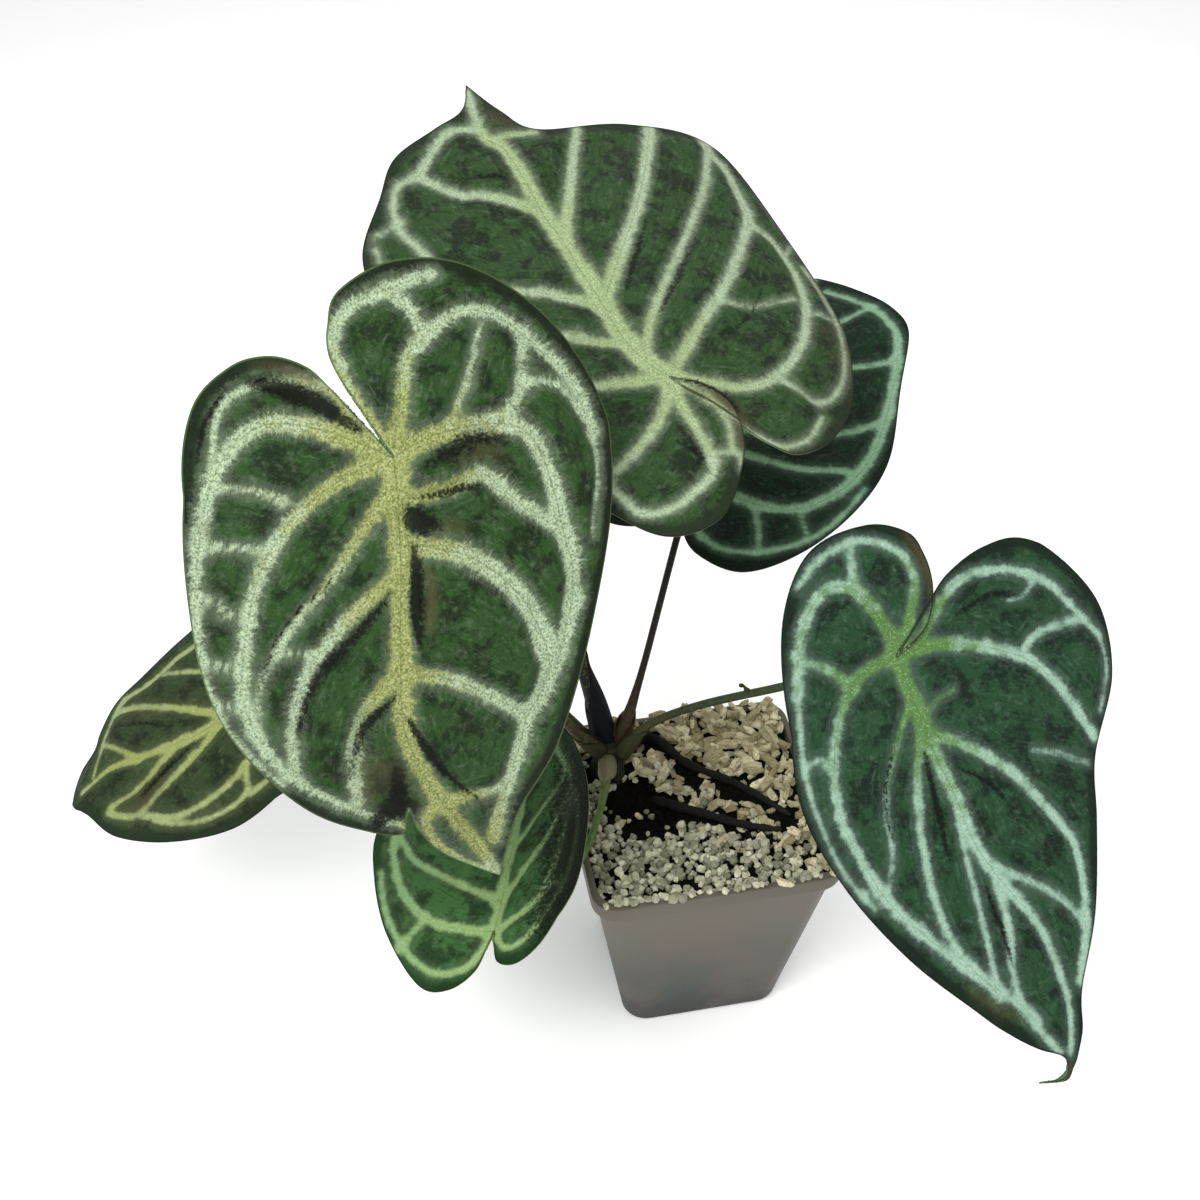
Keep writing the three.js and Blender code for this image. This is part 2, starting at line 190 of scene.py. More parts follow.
def select_only(first, *others):
    """Selects these pieces and nothing else, and makes the first one active."""
    start_piece()
    for piece in (first, *others):
        piece.select_set(True)
    bpy.context.view_layer.objects.active = first


def edit_all():
    """Edit Mode, with all of the active piece selected."""
    bpy.ops.object.mode_set(mode="EDIT")
    bpy.ops.mesh.select_all(action="SELECT")


def finish_piece(piece, name, nodes=(), materials=()):
    """Names the piece, applies its place, and ties it to the frame."""
    select_only(piece)
    bpy.ops.object.transform_apply(location=True, rotation=True, scale=True)
    piece.name = name
    piece.data.name = name
    if materials:
        piece.data.materials.clear()
        for material in materials:
            piece.data.materials.append(material)
    if nodes:
        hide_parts(*nodes)
    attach(piece, "root")
    piece.data.calc_loop_triangles()
    print(f"{name}: {len(piece.data.loop_triangles)} triangles")


def select_faces(piece, keep):
    """In Edit Mode, selects the faces for which keep(face) is true."""
    bpy.ops.mesh.select_mode(type="FACE")
    bpy.ops.mesh.select_all(action="DESELECT")
    bpy.ops.object.mode_set(mode="OBJECT")
    for face in piece.data.polygons:
        face.select = keep(face)
    bpy.ops.object.mode_set(mode="EDIT")


def select_edges(piece, keep):
    """In Edit Mode, selects the edges for which keep(first point, second point) is true."""
    bpy.ops.mesh.select_mode(type="EDGE")
    bpy.ops.mesh.select_all(action="DESELECT")
    bpy.ops.object.mode_set(mode="OBJECT")
    points = piece.data.vertices
    for edge in piece.data.edges:
        edge.select = keep(points[edge.vertices[0]].co, points[edge.vertices[1]].co)
    bpy.ops.object.mode_set(mode="EDIT")


def points_of(piece):
    """The piece's points in millimetres, one row each."""
    flat = np.empty(len(piece.data.vertices) * 3)
    piece.data.vertices.foreach_get("co", flat)
    return flat.reshape(-1, 3) / MM


def place_points(piece, points):
    """Moves the piece's points to these, in millimetres."""
    piece.data.vertices.foreach_set("co", (np.asarray(points) * MM).ravel())
    piece.data.update()


def store(piece, name, values):
    """Keeps one value for each point, which a material can read."""
    attribute = piece.data.attributes.new(name, "FLOAT", "POINT")
    attribute.data.foreach_set("value", np.asarray(values, np.float32))


def apply_modifier(piece, kind, **settings):
    """Adds a modifier with its settings, and applies it."""
    bpy.context.view_layer.objects.active = piece
    bpy.ops.object.modifier_add(type=kind)
    modifier = piece.modifiers[-1]
    for key, value in settings.items():
        setattr(modifier, key, value)
    bpy.ops.object.modifier_apply(modifier=modifier.name)


# %% Line helpers
def smooth_line(points, count, runs_on=False):
    """A smooth curve through the points, cut into count steps. runs_on carries its ends straight on."""
    p = np.asarray(points, float)
    first = 2 * p[0] - p[1] if runs_on else p[0]
    last = 2 * p[-1] - p[-2] if runs_on else p[-1]
    p = np.vstack([first, p, last])
    t = np.linspace(0, len(p) - 3, count + 1)
    i = np.minimum(t.astype(int), len(p) - 4)
    f = (t - i)[:, None]
    a, b, c, d = p[i], p[i + 1], p[i + 2], p[i + 3]
    return 0.5 * (2 * b + (c - a) * f + (2 * a - 5 * b + 4 * c - d) * f**2 + (3 * b - a - 3 * c + d) * f**3)


def lengths_along(line):
    """How far along a line each of its points lies."""
    return np.r_[0, np.cumsum(np.linalg.norm(np.diff(line, axis=0), axis=1))]


def points_at(lengths, line):
    """The points that lie at these lengths along a line."""
    steps = lengths_along(line)
    return np.stack([np.interp(lengths, steps, column) for column in line.T], -1)


def distances(x, y, line):
    """How far each flat point lies from each point of a line."""
    return np.hypot(x[:, None] - line[:, 0], y[:, None] - line[:, 1])


def unit(vectors):
    """The same vectors at length one."""
    return vectors / np.linalg.norm(vectors, axis=1, keepdims=True)


# %% [markdown]
# ## The pot
# A nursery pot is blow-moulded from thin polypropylene: four tapered walls, rounded corners and a small
# lip that is turned out for stiffness. A cube is tapered, its upright edges are bevelled, and the lip and
# the hollow grow out of its top face by extruding. The cube keeps the wall evenly thick all round.

# %% Pot measures
POT = {"lip": 90, "base": 60, "height": 88, "lip_height": 6, "overhang": 2, "wall": 1.4, "corner": 9,
       "floor": 2.0, "foot_round": 2, "edge_round": 0.5}
LIP_FOOT = POT["height"] - POT["lip_height"]


def wall_width(z):
    """Width of the pot over its outer walls at a height."""
    top = POT["lip"] - 2 * POT["overhang"]
    return POT["base"] + (top - POT["base"]) * z / LIP_FOOT


print("pot over its walls, mm:", {z: round(wall_width(z), 1) for z in (0, LIP_FOOT)})


# %% Pot material
# Matt polypropylene, moulded: it scatters light softly, and a faint mottle shows where it cooled.
def pot_material():
    material, shader, add = start_material("moulded polypropylene")
    place = add("TexCoord", out="Object")
    height = add("SeparateXYZ", {"Vector": place}, out="Z")
    cloud = add("TexNoise", {"Vector": place, "Scale": marks(30), "Detail": 3.0})
    speck = add("TexNoise", {"Vector": place, "Scale": marks(0.9), "Detail": 4.0})
    body = linear(0x2F372D)
    for pattern, start, full, strength, colour in (
            (height, 15 * MM, 75 * MM, 1.0, 0x585347), (height, 30 * MM, 0.0, 1.0, 0x10160F),
            (cloud, 0.42, 0.66, 0.45, 0x5E4E44), (speck, 0.6, 0.8, 0.25, 0x70685C)):
        share = add("MapRange", {0: pattern, 1: start, 2: full, 4: strength}, **SOFT)
        body = add("Mix", {0: share, 6: body, 7: linear(colour)}, **BLEND)
    relief = add("Bump", {"Height": speck, "Distance": 0.08 * MM, "Strength": 0.6})
    fill(shader, {"Base Color": body, "Roughness": 0.55, "IOR": 1.49, "Normal": relief})
    return material


# %% Pot body
start_piece()
bpy.ops.mesh.primitive_cube_add(size=1, location=(0, 0, 0))
pot = bpy.context.object
corners = points_of(pot)
corners[:, 2] = (corners[:, 2] > 0) * LIP_FOOT
half_width = np.where(corners[:, 2:] > 0, wall_width(LIP_FOOT), POT["base"]) / 2
corners[:, :2] = np.sign(corners[:, :2]) * half_width
place_points(pot, corners)
bpy.ops.object.mode_set(mode="EDIT")
select_edges(pot, lambda a, b: abs(a.z - b.z) > 10 * MM)
bpy.ops.mesh.bevel(offset=POT["corner"] * MM, segments=8, affect="EDGES", offset_type="OFFSET")
select_edges(pot, lambda a, b: a.z < MM and b.z < MM)
bpy.ops.mesh.bevel(offset=POT["foot_round"] * MM, segments=4, affect="EDGES")


def top_face(face):
    """True for the wide level face that the lip and the hollow grow out of."""
    return face.normal.z > 0.9 and face.area > 1000 * MM * MM


def grow_top(wide, rise):
    """Extrudes the top face up by rise, and makes it wide millimetres wider."""
    select_faces(pot, top_face)
    bpy.ops.object.mode_set(mode="OBJECT")
    face = max((f for f in pot.data.polygons if f.select), key=lambda f: f.center.z)
    across = max(abs(pot.data.vertices[v].co.x) for v in face.vertices) * 2 / MM
    bpy.ops.object.mode_set(mode="EDIT")
    bpy.ops.mesh.extrude_region_move(TRANSFORM_OT_translate={"value": (0, 0, rise * MM)})
    share = (across + wide) / across
    bpy.ops.transform.resize(value=(share, share, 1), center_override=(0, 0, 0))


mouth = wall_width(POT["height"])
grow_top(2 * POT["overhang"], 0.0)
grow_top(0.0, POT["lip_height"])
grow_top(-2 * (POT["overhang"] + POT["wall"]) + mouth - wall_width(LIP_FOOT), 0.0)
grow_top(wall_width(POT["floor"]) - mouth, POT["floor"] - POT["height"])
bpy.ops.object.mode_set(mode="OBJECT")
apply_modifier(pot, "BEVEL", width=POT["edge_round"] * MM, segments=3, limit_method="ANGLE",
               angle_limit=math.radians(40))
bpy.ops.object.shade_smooth_by_angle(angle=math.radians(35))
finish_piece(pot, "nursery_pot", ["pot"], [pot_material()])

# %% [markdown]
# ## The leaves: measures
# Each leaf is drawn flat first. Its x runs across to its own right and its y along the midrib from the
# stalk's end to the tip. A leaf is two half outlines and a list of veins, and five or six angles then
# bend it. Working flat keeps the outline and the veins easy to read, and the bending carries them along.
# Where one lobe laps over the other, "over" is how high it lies on it.

# %% Leaf outlines and poses
LEAVES = {
    "A": {
        "at": (-97, -24, 273), "heading": 172, "dip": -49, "roll": 4, "length": 141, "width": 69,
        "droop": 42, "curl": (18, 17), "fold": (3, 2), "sway": -16, "arch": 10, "gold": 0.85,
        "spine": [(0, 0), (0, 70), (0, 139)],
        "right": [(1.8, -3.6), (4.7, -8.3), (8.8, -15), (12.9, -21.8), (18, -28.5), (27, -33), (38, -32),
                  (50, -23), (57, -2), (56, 29), (51, 65), (38, 96), (25, 108.5), (16.5, 112), (12.5, 106),
                  (10.5, 103), (11.5, 111), (10, 122), (5, 131)],
        "left": [(1.5, -3.2), (3.2, -7.2), (5.2, -12.2), (7.6, -18.2), (10.1, -24.6), (11.3, -31), (10, -38),
                 (5, -47), (-12, -53), (-33, -49), (-55, -32), (-69, -6), (-72, 29), (-61, 65), (-41, 96),
                 (-19, 115), (-6, 131)],
    },
    "B": {
        "at": (-5, 37, 248), "heading": -23, "dip": 20, "roll": -3, "gold": 0.8, "length": 134, "width": 76,
        "droop": -2, "lobe_droop": 11, "curl": (10, 8), "fold": (1, 0), "rim": (0, 12), "twist": 4,
        "sway": 2, "lobe_fold": (17, 20), "over": {"left": 1.8},
        "spine": [(0, 0), (0, 70), (1, 137)],
        "right": [(2.4, -6.6), (7, -16), (12, -25.5), (17, -33.5), (26, -40.5), (45, -38), (65, -24),
                  (81, 4), (88, 44), (85, 86), (50, 103), (16, 110), (7, 122)],
        "left": [(2.8, -2.5), (8, -8), (12, -16), (10, -27), (2, -39), (-13, -51), (-31, -50), (-43, -36),
                 (-54, -10), (-63, 20), (-69, 54), (-66, 83), (-49, 104), (-37, 117), (-19, 123),
                 (-6, 127)],
    },
    "C": {
        "at": (11, 70, 182), "heading": 30, "dip": 18, "roll": 2, "gold": 0.0, "length": 108, "width": 66,
        "droop": 9, "curl": (18, 16), "fold": (3, 0), "sway": 17,
        "spine": [(0, 0), (1, 60), (2, 110)],
        "right": [(0.5, -6.5), (3.4, -20), (12, -31), (30, -34), (48, -19), (62, 6), (67, 32), (60, 65),
                  (50, 92), (36, 103), (17, 108)],
        "left": [(0, -6), (-2, -16), (-10, -24), (-24, -24), (-38, -12), (-48, 6), (-54, 30), (-54, 56),
                 (-45, 82), (-24, 101)],
    },
    "D": {
        "at": (58, -27, 174), "heading": 145, "dip": -33, "roll": -26, "length": 135, "width": 70,
        "gold": 0.12, "droop": 2, "curl": (12, 20), "fold": (6, 4), "twist": 2, "sway": 34, "arch": 12,
        "over": {"right": 2.2},
        "spine": [(0, 0), (0, 70), (0.5, 124), (1.8, 134.4), (5.2, 137.3), (14.4, 133.3)],
        "right": [(-4, -0.2), (-9, -0.7), (-14, -2.2), (-20, -6.5), (-25, -13), (-28, -21), (-28, -30),
                  (-18, -40), (2, -44), (22, -32), (39, -8), (49, 19), (47, 48), (38, 80), (25.4, 105.8),
                  (18.4, 116.9), (11.4, 125.1), (4.6, 130.9), (3.3, 133.9), (5.2, 136.7)],
        "left": [(-4, -1.8), (-12, -4.9), (-21, -8), (-32, -11.2), (-48, -11), (-63, -5), (-76, 13),
                 (-81, 31), (-73, 50), (-52, 66), (-41, 82), (-25, 104), (-10, 119), (-5.5, 128.7),
                 (-2.2, 133), (0.8, 136), (4.2, 137.9)],
    },
    "E": {
        "at": (-150, 47, 121), "heading": 274, "dip": -9, "roll": 26, "gold": 0.8, "length": 79, "width": 52,
        "droop": 30, "curl": (22, 22), "fold": (3, 5), "twist": -3, "sway": -17, "arch": -6,
        "spine": [(0, 0), (1, 45), (4, 84)],
        "right": [(1.2, -5), (5, -14.5), (16, -26), (32, -27), (46, -16), (53, 2), (53, 20), (46, 37),
                  (38, 52), (33, 65), (24, 71), (17, 73), (13, 80), (9, 83)],
        "left": [(0, -5), (-4, -13), (-14, -21), (-26, -16), (-35, -1), (-39, 18), (-33, 44), (-22, 64),
                 (-8, 75), (-1, 81)],
    },
    "F": {
        "at": (-81, -56, 102), "heading": 19, "dip": 8, "roll": 20, "gold": 0.3, "length": 92, "width": 46,
        "droop": 9, "curl": (16, 9), "fold": (-18, -16), "sway": -4,
        "spine": [(0, 0), (0, 50), (1, 96)],
        "right": [(1, -5), (4, -12), (12, -13), (22, -5), (31, 11), (31, 37), (26, 59), (15, 82)],
        "left": [(-1, -5), (-4, -15), (-12, -21), (-23, -19), (-37, -2), (-47, 20), (-51, 40), (-43, 64),
                 (-20, 86)],
    },
}
print("leaf lengths, mm:", {name: leaf["length"] for name, leaf in LEAVES.items()})

# %% [markdown]
# ## The leaves: veins
# The veins are what this plant is grown for. A strong vein leaves the stalk's end for each lobe, others
# leave the midrib, and all of them bend forward into a vein that follows the margin. Each one lies in a
# pale band. A vein here is its band's half width at both ends, and the few points that it bends through.

# %% Vein routes
VEINS = {
    "A": [
        (3.0, 1.2, [(0, 0), (-2, 17), (-2, 39), (0, 56), (3, 77), (2, 94), (0, 111), (-1, 125), (0, 137)]),
        (1.5, 1.7, [(0, 0), (-6, -15), (-11, -27), (-26, -36), (-39, -34), (-54, -21), (-61, -11), (-65, 3)]),
        (0.9, 0.5, [(-65, 3), (-67, 20), (-64, 34)]),
        (1.3, 1.5, [(0, 0), (8, -20), (9, -35), (3, -42), (-7, -45), (-22, -48)]),
        (1.7, 1.3, [(-8, -45), (-13, -40), (-16, -32)]),
        (2.0, 2.9, [(0, 0), (-14, -4), (-33, -4), (-44, 3), (-51, 20), (-57, 41), (-57, 53)]),
        (2.9, 2.2, [(-57, 53), (-52, 64), (-45, 73)]),
        (1.6, 1.6, [(-30, -4), (-39, -9), (-43, -16), (-46, -29)]),
        (1.0, 1.3, [(-43, -14), (-54, -13), (-62, -3)]),
        (0.7, 0.7, [(-17, -4), (-25, -16), (-33, -32)]),
        (1.4, 2.0, [(-2, 12), (-17, 11), (-27, 9), (-35, 16), (-45, 24), (-54, 30)]),
        (2.0, 3.6, [(-2, 24), (-18, 29), (-31, 38), (-41, 51), (-45, 63)]),
        (3.6, 1.2, [(-45, 63), (-44, 73), (-35, 84), (-29, 93), (-19, 105), (-6, 124)]),
        (1.4, 2.4, [(1, 60), (-11, 64), (-22, 72), (-33, 83)]),
        (1.2, 1.0, [(0, 103), (-8, 104), (-19, 104)]),
        (2.2, 1.9, [(0, 0), (14, -9), (25, -14), (34, -15), (43, -10), (50, -1), (53, 12)]),
        (1.6, 0.6, [(53, 12), (54, 30), (53, 52), (49, 70), (40, 88)]),
        (1.0, 0.9, [(14, -9), (10, -17), (20, -25), (34, -26), (43, -21), (48, -8)]),
        (2.0, 1.7, [(2, 0), (16, 4), (27, 11), (36, 23), (41, 40), (44, 57), (43, 70)]),
        (1.7, 1.0, [(43, 70), (38, 84), (30, 94), (22, 103), (13, 110)]),
        (0.9, 1.0, [(33, 19), (43, 16), (53, 14)]),
        (1.0, 0.7, [(30, 6), (40, 1), (50, -1)]),
        (0.9, 0.8, [(40, 34), (46, 34), (48, 30), (53, 28)]),
        (1.0, 0.9, [(42, 50), (48, 48), (53, 46)]),
        (1.0, 0.8, [(43, 62), (51, 59)]),
        (1.3, 0.7, [(1, 8), (10, 20), (19, 31), (29, 41), (38, 54), (41, 64)]),
        (1.8, 1.4, [(-1, 33), (9, 38), (20, 47), (28, 58), (33, 70), (36, 84)]),
        (0.6, 0.5, [(22, 49), (28, 48), (34, 48)]),
        (1.6, 1.7, [(1, 58), (10, 66), (17, 77), (23, 97)]),
        (0.8, 0.8, [(3, 104), (8, 109), (9, 118), (6, 127), (1, 135)]),
    ],
    "B": [
        (3.8, 1.2, [(0, 0), (-5, 12), (-4, 32), (-3, 52), (-2, 68), (-1, 87), (0, 106), (-4, 115), (0, 134)]),
        (0.9, 0.8, [(-3, 112), (4, 111.5), (14, 109)]),
        (1.6, 1.6, [(-1, 76), (-12, 86), (-25, 95), (-33, 107)]),
        (1.6, 1.2, [(-33, 107), (-26, 113), (-15, 120), (-6, 118)]),
        (0.9, 1.5, [(-33, 107), (-41, 106), (-47, 98), (-49, 88), (-47, 76), (-50, 62)]),
        (1.7, 1.5, [(-4, 33), (-16, 43), (-30, 52), (-42, 62), (-49, 68)]),
        (1.6, 1.4, [(-6, 17), (-20, 26), (-34, 34), (-46, 44), (-51, 54)]),
        (1.6, 1.5, [(0, 0), (-10, 2), (-24, 6), (-38, 14), (-47, 26), (-51, 42), (-50, 62)]),
        (0.6, 0.6, [(-44, -24), (-54, 0), (-60, 28), (-64, 56), (-60, 86)]),
        (0.5, 0.5, [(-50, 44), (-61, 50)]),
        (0.5, 0.5, [(-47, 92), (-58, 90)]),
        (1.3, 1.5, [(-1, 64), (8, 76), (18, 90), (29, 106)]),
        (1.8, 2.2, [(-4, 34), (4, 42), (20, 57), (38, 75), (57, 99)]),
        (1.0, 1.5, [(-2, 12), (8, 23), (24, 37), (45, 54), (64, 71), (80, 90)]),
        (1.4, 2.0, [(0, 0), (19, 13), (43, 28), (60, 42), (73, 54), (79, 68)]),
        (2.0, 1.2, [(79, 68), (80, 80), (77, 91)]),
        (0.7, 0.6, [(36, 22), (48, 17), (66, 16)]),
        (1.4, 1.6, [(70, 50), (77, 42), (77, 28), (67, 10), (54, -3), (38, -11), (22, -12), (0, 0)]),
        (0.9, 0.7, [(84, 30), (80, 8), (69, -13), (57, -23), (46, -24), (38, -14)]),
        (0.6, 0.6, [(78, 36), (86, 40)]),
        (0.6, 0.6, [(67, 10), (76, 6)]),
        (0.8, 0.6, [(6, -12), (12, -26), (21, -36), (34, -36), (45, -30)]),
        (1.4, 1.2, [(0, 0), (-5, -6), (-14, -14), (-26, -20), (-38, -24)]),
        (1.4, 1.2, [(0, 0), (-3, -14), (-4, -28), (-7, -36), (-16, -40), (-27, -42), (-36, -38), (-39, -26)]),
        (0.6, 0.6, [(-5, -30), (3, -34), (2, -40)]),
        (0.6, 0.6, [(1, -3), (6, -12), (7, -22), (3, -32)]),
        (1.2, 0.7, [(-39, -26), (-46, -10), (-50, 8), (-48, 24)]),
    ],
    "C": [
        (2.2, 0.9, [(0, 0), (1, 25), (1, 60), (2, 108)]),
        (1.8, 1.8, [(0, 0), (12, -3), (26, -5), (40, -3), (51, 6), (58, 19), (61, 34), (60, 52)]),
        (1.8, 1.0, [(60, 52), (55, 72), (46, 90), (30, 100), (10, 103)]),
        (1.3, 1.2, [(0, 8), (12, 14), (24, 14), (38, 14), (50, 18), (58, 20)]),
        (1.4, 1.2, [(1, 20), (16, 26), (34, 31), (49, 36), (61, 48)]),
        (1.4, 1.2, [(1, 42), (18, 52), (36, 64), (53, 77)]),
        (1.2, 1.0, [(1, 66), (14, 76), (24, 86), (30, 100)]),
        (0.9, 0.8, [(26, -5), (30, -14), (33, -24)]),
        (1.0, 0.7, [(12, -24), (21, -27), (34, -24), (48, -14), (57, 0), (62, 14)]),
        (1.2, 0.9, [(0, 0), (4, -14), (12, -24)]),
        (0.5, 0.5, [(42, -3), (48, -13)]),
        (1.8, 1.3, [(0, 0), (-14, -8), (-28, -5), (-39, 10), (-45, 30), (-44, 52), (-36, 74), (-18, 92)]),
        (1.2, 1.0, [(1, 12), (-18, 20), (-34, 30), (-44, 44)]),
        (1.2, 1.0, [(1, 34), (-14, 45), (-30, 57), (-40, 66)]),
        (1.0, 0.9, [(1, 58), (-12, 69), (-26, 84)]),
        (0.9, 0.8, [(0, -3), (-5, -12), (-14, -18), (-24, -17), (-32, -7)]),
    ],
    "D": [
        (2.4, 0.8, [(0, 0), (1, 24), (1, 46), (2, 62), (0, 76), (-4, 92), (-5, 108), (-3, 121), (1, 132)]),
        (1.7, 1.6, [(0, 0), (-10, 3), (-22, 9), (-36, 19), (-46, 29), (-51, 41), (-54, 52), (-55, 61)]),
        (1.1, 1.2, [(-43, 25), (-50, 23), (-58, 24), (-70, 28)]),
        (1.5, 1.2, [(-10, 0), (-20, -4), (-34, -7), (-46, -3), (-57, 5), (-65, 13), (-71, 25), (-75, 36)]),
        (0.6, 0.5, [(-75, 36), (-72, 47), (-62, 56)]),
        (0.4, 0.2, [(-59, 8), (-52, 10), (-46, 8)]),
        (1.6, 1.3, [(0, 26), (-10, 36), (-18, 48), (-24, 60), (-28, 74), (-28, 88), (-20, 105), (-10, 117)]),
        (0.5, 0.6, [(-31, 51), (-40, 58), (-48, 66)]),
        (0.5, 0.2, [(-1, 20), (-8, 19), (-14, 20)]),
        (1.1, 0.9, [(1, 70), (-6, 79), (-14, 90), (-20, 103)]),
        (1.3, 0.9, [(1, 76), (5, 90), (10, 102), (11, 114), (5, 130)]),
        (1.8, 1.6, [(0, 0), (-3, -10), (-3, -20), (-1, -27), (5, -31), (13, -29), (23, -22), (33, -10)]),
        (0.9, 0.3, [(33, -10), (41, 4), (45, 22), (45, 44), (41, 60)]),
        (1.0, 1.0, [(-2, -25), (-6, -32), (-9, -37)]),
        (1.0, 1.3, [(12, -37), (1, -40), (-12, -38), (-20, -29), (-21, -18), (-14, -10), (0, 0)]),
        (1.5, 1.6, [(0, 0), (10, -2), (19, 0), (27, 6), (33, 15), (38, 28), (38, 44), (36, 60), (31, 74)]),
        (1.6, 0.8, [(31, 74), (25, 88), (17, 102), (8, 118)]),
        (1.4, 1.0, [(18, 0), (20, -9), (26, -18)]),
        (0.9, 0.9, [(34, 16), (38, 12), (43, 12)]),
        (0.6, 0.6, [(38, 56), (42, 54)]),
        (0.7, 0.7, [(2, 14), (10, 21), (18, 29), (24, 38), (28, 50), (36, 60)]),
        (1.3, 1.2, [(1, 22), (8, 32), (15, 46), (20, 60), (23, 76), (22, 90), (17, 105)]),
        (0.9, 0.7, [(1, 48), (6, 62), (10, 78), (14, 92), (17, 104)]),
    ],
    "E": [
        (1.9, 0.8, [(0, 0), (0, 16), (-1, 28), (0, 40), (1, 51), (3, 63), (3, 78)]),
        (1.4, 1.0, [(0, 0), (12, -9), (26, -10), (37, 2), (41, 18), (38, 34), (33, 48), (31, 61)]),
        (1.0, 0.8, [(0, 6), (14, 12), (25, 24), (33, 41)]),
        (1.3, 1.0, [(0, 12), (8, 24), (17, 40), (24, 53), (27, 64)]),
        (0.9, 0.7, [(31, 61), (24, 66), (16, 68), (6, 72)]),
        (0.8, 0.6, [(1, 50), (8, 58), (15, 67)]),
        (1.3, 1.0, [(0, 14), (-7, 25), (-14, 40), (-19, 54), (-12, 66)]),
        (1.2, 0.9, [(0, 2), (-14, 4), (-22, 12), (-26, 26), (-26, 38), (-21, 50)]),
        (0.8, 0.7, [(-20, 9), (-29, 10), (-32, 20), (-30, 34), (-24, 46)]),
        (1.2, 0.8, [(0, 0), (-8, -8), (-18, -12), (-26, -4), (-30, 8)]),
        (0.9, 0.7, [(0, 30), (-5, 40), (-10, 52), (-11, 64)]),
    ],
    "F": [
        (1.8, 0.8, [(0, 0), (0, 30), (0, 60), (1, 92)]),
        (1.5, 1.3, [(0, 0), (-10, 0), (-21, 2), (-30, 8), (-38, 19), (-43, 34), (-41, 50), (-30, 68)]),
        (1.0, 0.9, [(-24, 3), (-29, -3), (-33, -8)]),
        (1.2, 0.9, [(0, 0), (-3, -8), (-8, -14), (-18, -15), (-29, -8), (-39, 6), (-45, 22)]),
        (1.3, 1.0, [(0, 12), (-10, 15), (-22, 20), (-34, 27), (-42, 38)]),
        (1.1, 0.9, [(0, 28), (-12, 34), (-26, 44), (-38, 56)]),
        (1.0, 0.8, [(0, 48), (-10, 56), (-22, 66), (-28, 72)]),
        (1.3, 1.0, [(0, 0), (11, 5), (18, 13), (21, 26), (22, 40), (21, 52), (16, 66), (8, 80)]),
        (0.8, 0.7, [(0, 0), (6, -7), (14, -5), (22, 5), (27, 20), (26, 42), (21, 52)]),
        (0.8, 0.7, [(18, 13), (25, 14)]),
        (1.1, 0.9, [(0, 12), (8, 22), (15, 34), (21, 50)]),
        (0.9, 0.8, [(0, 32), (7, 42), (14, 54), (17, 62)]),
    ],
}
print("veins:", {name: len(veins) for name, veins in VEINS.items()})

# %% [markdown]
# ## The leaves: bending
# A leaf is stiff along its veins and gives between them, so its shape is a few smooth bends: it droops
# along the midrib, each half curls down over its width, and the lobes tip back. This is the same rule as
# the solid model's, so the fine leaf lies where the plain one does.

# %% Bend a flat leaf
# How far back over the lobes a fold fades out, as a share of the leaf's length
FOLD_REACH = 1 / 3


def leaf_basis(leaf):
    """The leaf's frame: x to its right, y along the midrib, z out of its face. Millimetres."""
    heading, dip, roll = (math.radians(leaf[key]) for key in ("heading", "dip", "roll"))
    midrib = Vector((math.sin(heading) * math.cos(dip), math.cos(heading) * math.cos(dip), math.sin(dip)))
    level = Vector((math.cos(heading), -math.sin(heading), 0))
    right = level * math.cos(roll) + level.cross(midrib) * math.sin(roll)
    face = right.cross(midrib)
    basis = Matrix((right, midrib, face)).transposed().to_4x4()
    basis.translation = leaf["at"]
    return basis


def bend(leaf, x, y):
    """Where points of the flat leaf lie in the leaf's frame once it is bent."""
    right = x >= 0
    u = y / leaf["length"]
    rate = np.radians(np.where(u >= 0, leaf["droop"], leaf.get("lobe_droop", 0))) / leaf["length"]
    slope = rate * y
    safe = np.where(rate == 0, 1, rate)
    along = np.where(rate == 0, y, np.sin(slope) / safe)
    sink = np.where(rate == 0, 0, (1 - np.cos(slope)) / safe)

    def side(key):
        left_value, right_value = leaf.get(key, (0, 0))
        return np.where(right, right_value, left_value)

    start = side("fold") * np.clip(1 + u / FOLD_REACH, 0, 1) + side("lobe_fold") * np.clip(-u, 0, 1)
    q = np.abs(x) / leaf["width"]
    across = np.zeros_like(x)
    height = np.zeros_like(x)
    steps = 8
    for i in range(steps):
        p = q * (i + 0.5) / steps
        angle = np.radians(start + side("curl") * p + side("rim") * p**4)
        across += np.cos(angle) * np.abs(x) / steps
        height -= np.sin(angle) * np.abs(x) / steps
    across = np.where(right, across, -across)
    twist = math.radians(leaf.get("twist", 0)) * np.maximum(u, 0)
    turned = across * np.cos(twist) - height * np.sin(twist)
    lifted = across * np.sin(twist) + height * np.cos(twist)
    forward = np.maximum(u, 0)
    shift = leaf["sway"] * forward**3 + leaf.get("arch", 0) * np.sin(np.pi * np.minimum(forward, 1))
    return np.stack([turned + shift, along + lifted * np.sin(slope), lifted * np.cos(slope) - sink], -1)


def bent_normal(leaf, x, y):
    """Which way the bent leaf faces at points of the flat leaf."""
    step = 0.5
    across = bend(leaf, x + step, y) - bend(leaf, x - step, y)
    along = bend(leaf, x, y + step) - bend(leaf, x, y - step)
    return unit(np.cross(across, along))


# %% [markdown]
# ## The leaves: where a point lies between the veins
# Each point of the fine leaf keeps four lengths in millimetres: how far it lies outside the nearest pale
# band, how far off that vein's middle line, how far along it, and how far in from the margin. The
# material turns them into colour and the relief into shape, so both always agree.

# %% Measure a leaf against its veins
# How far two bands reach across to melt into one, how finely a vein is cut, and how far apart the stretches
# of pattern lie that two veins read
WEB = 0.9
VEIN_STEP = 0.8
VEIN_SHIFT = 37
# How far the yellow-green spreads from the stalk's end and from the midrib
WARM_REACH = {"stalk": 30, "midrib": 15}
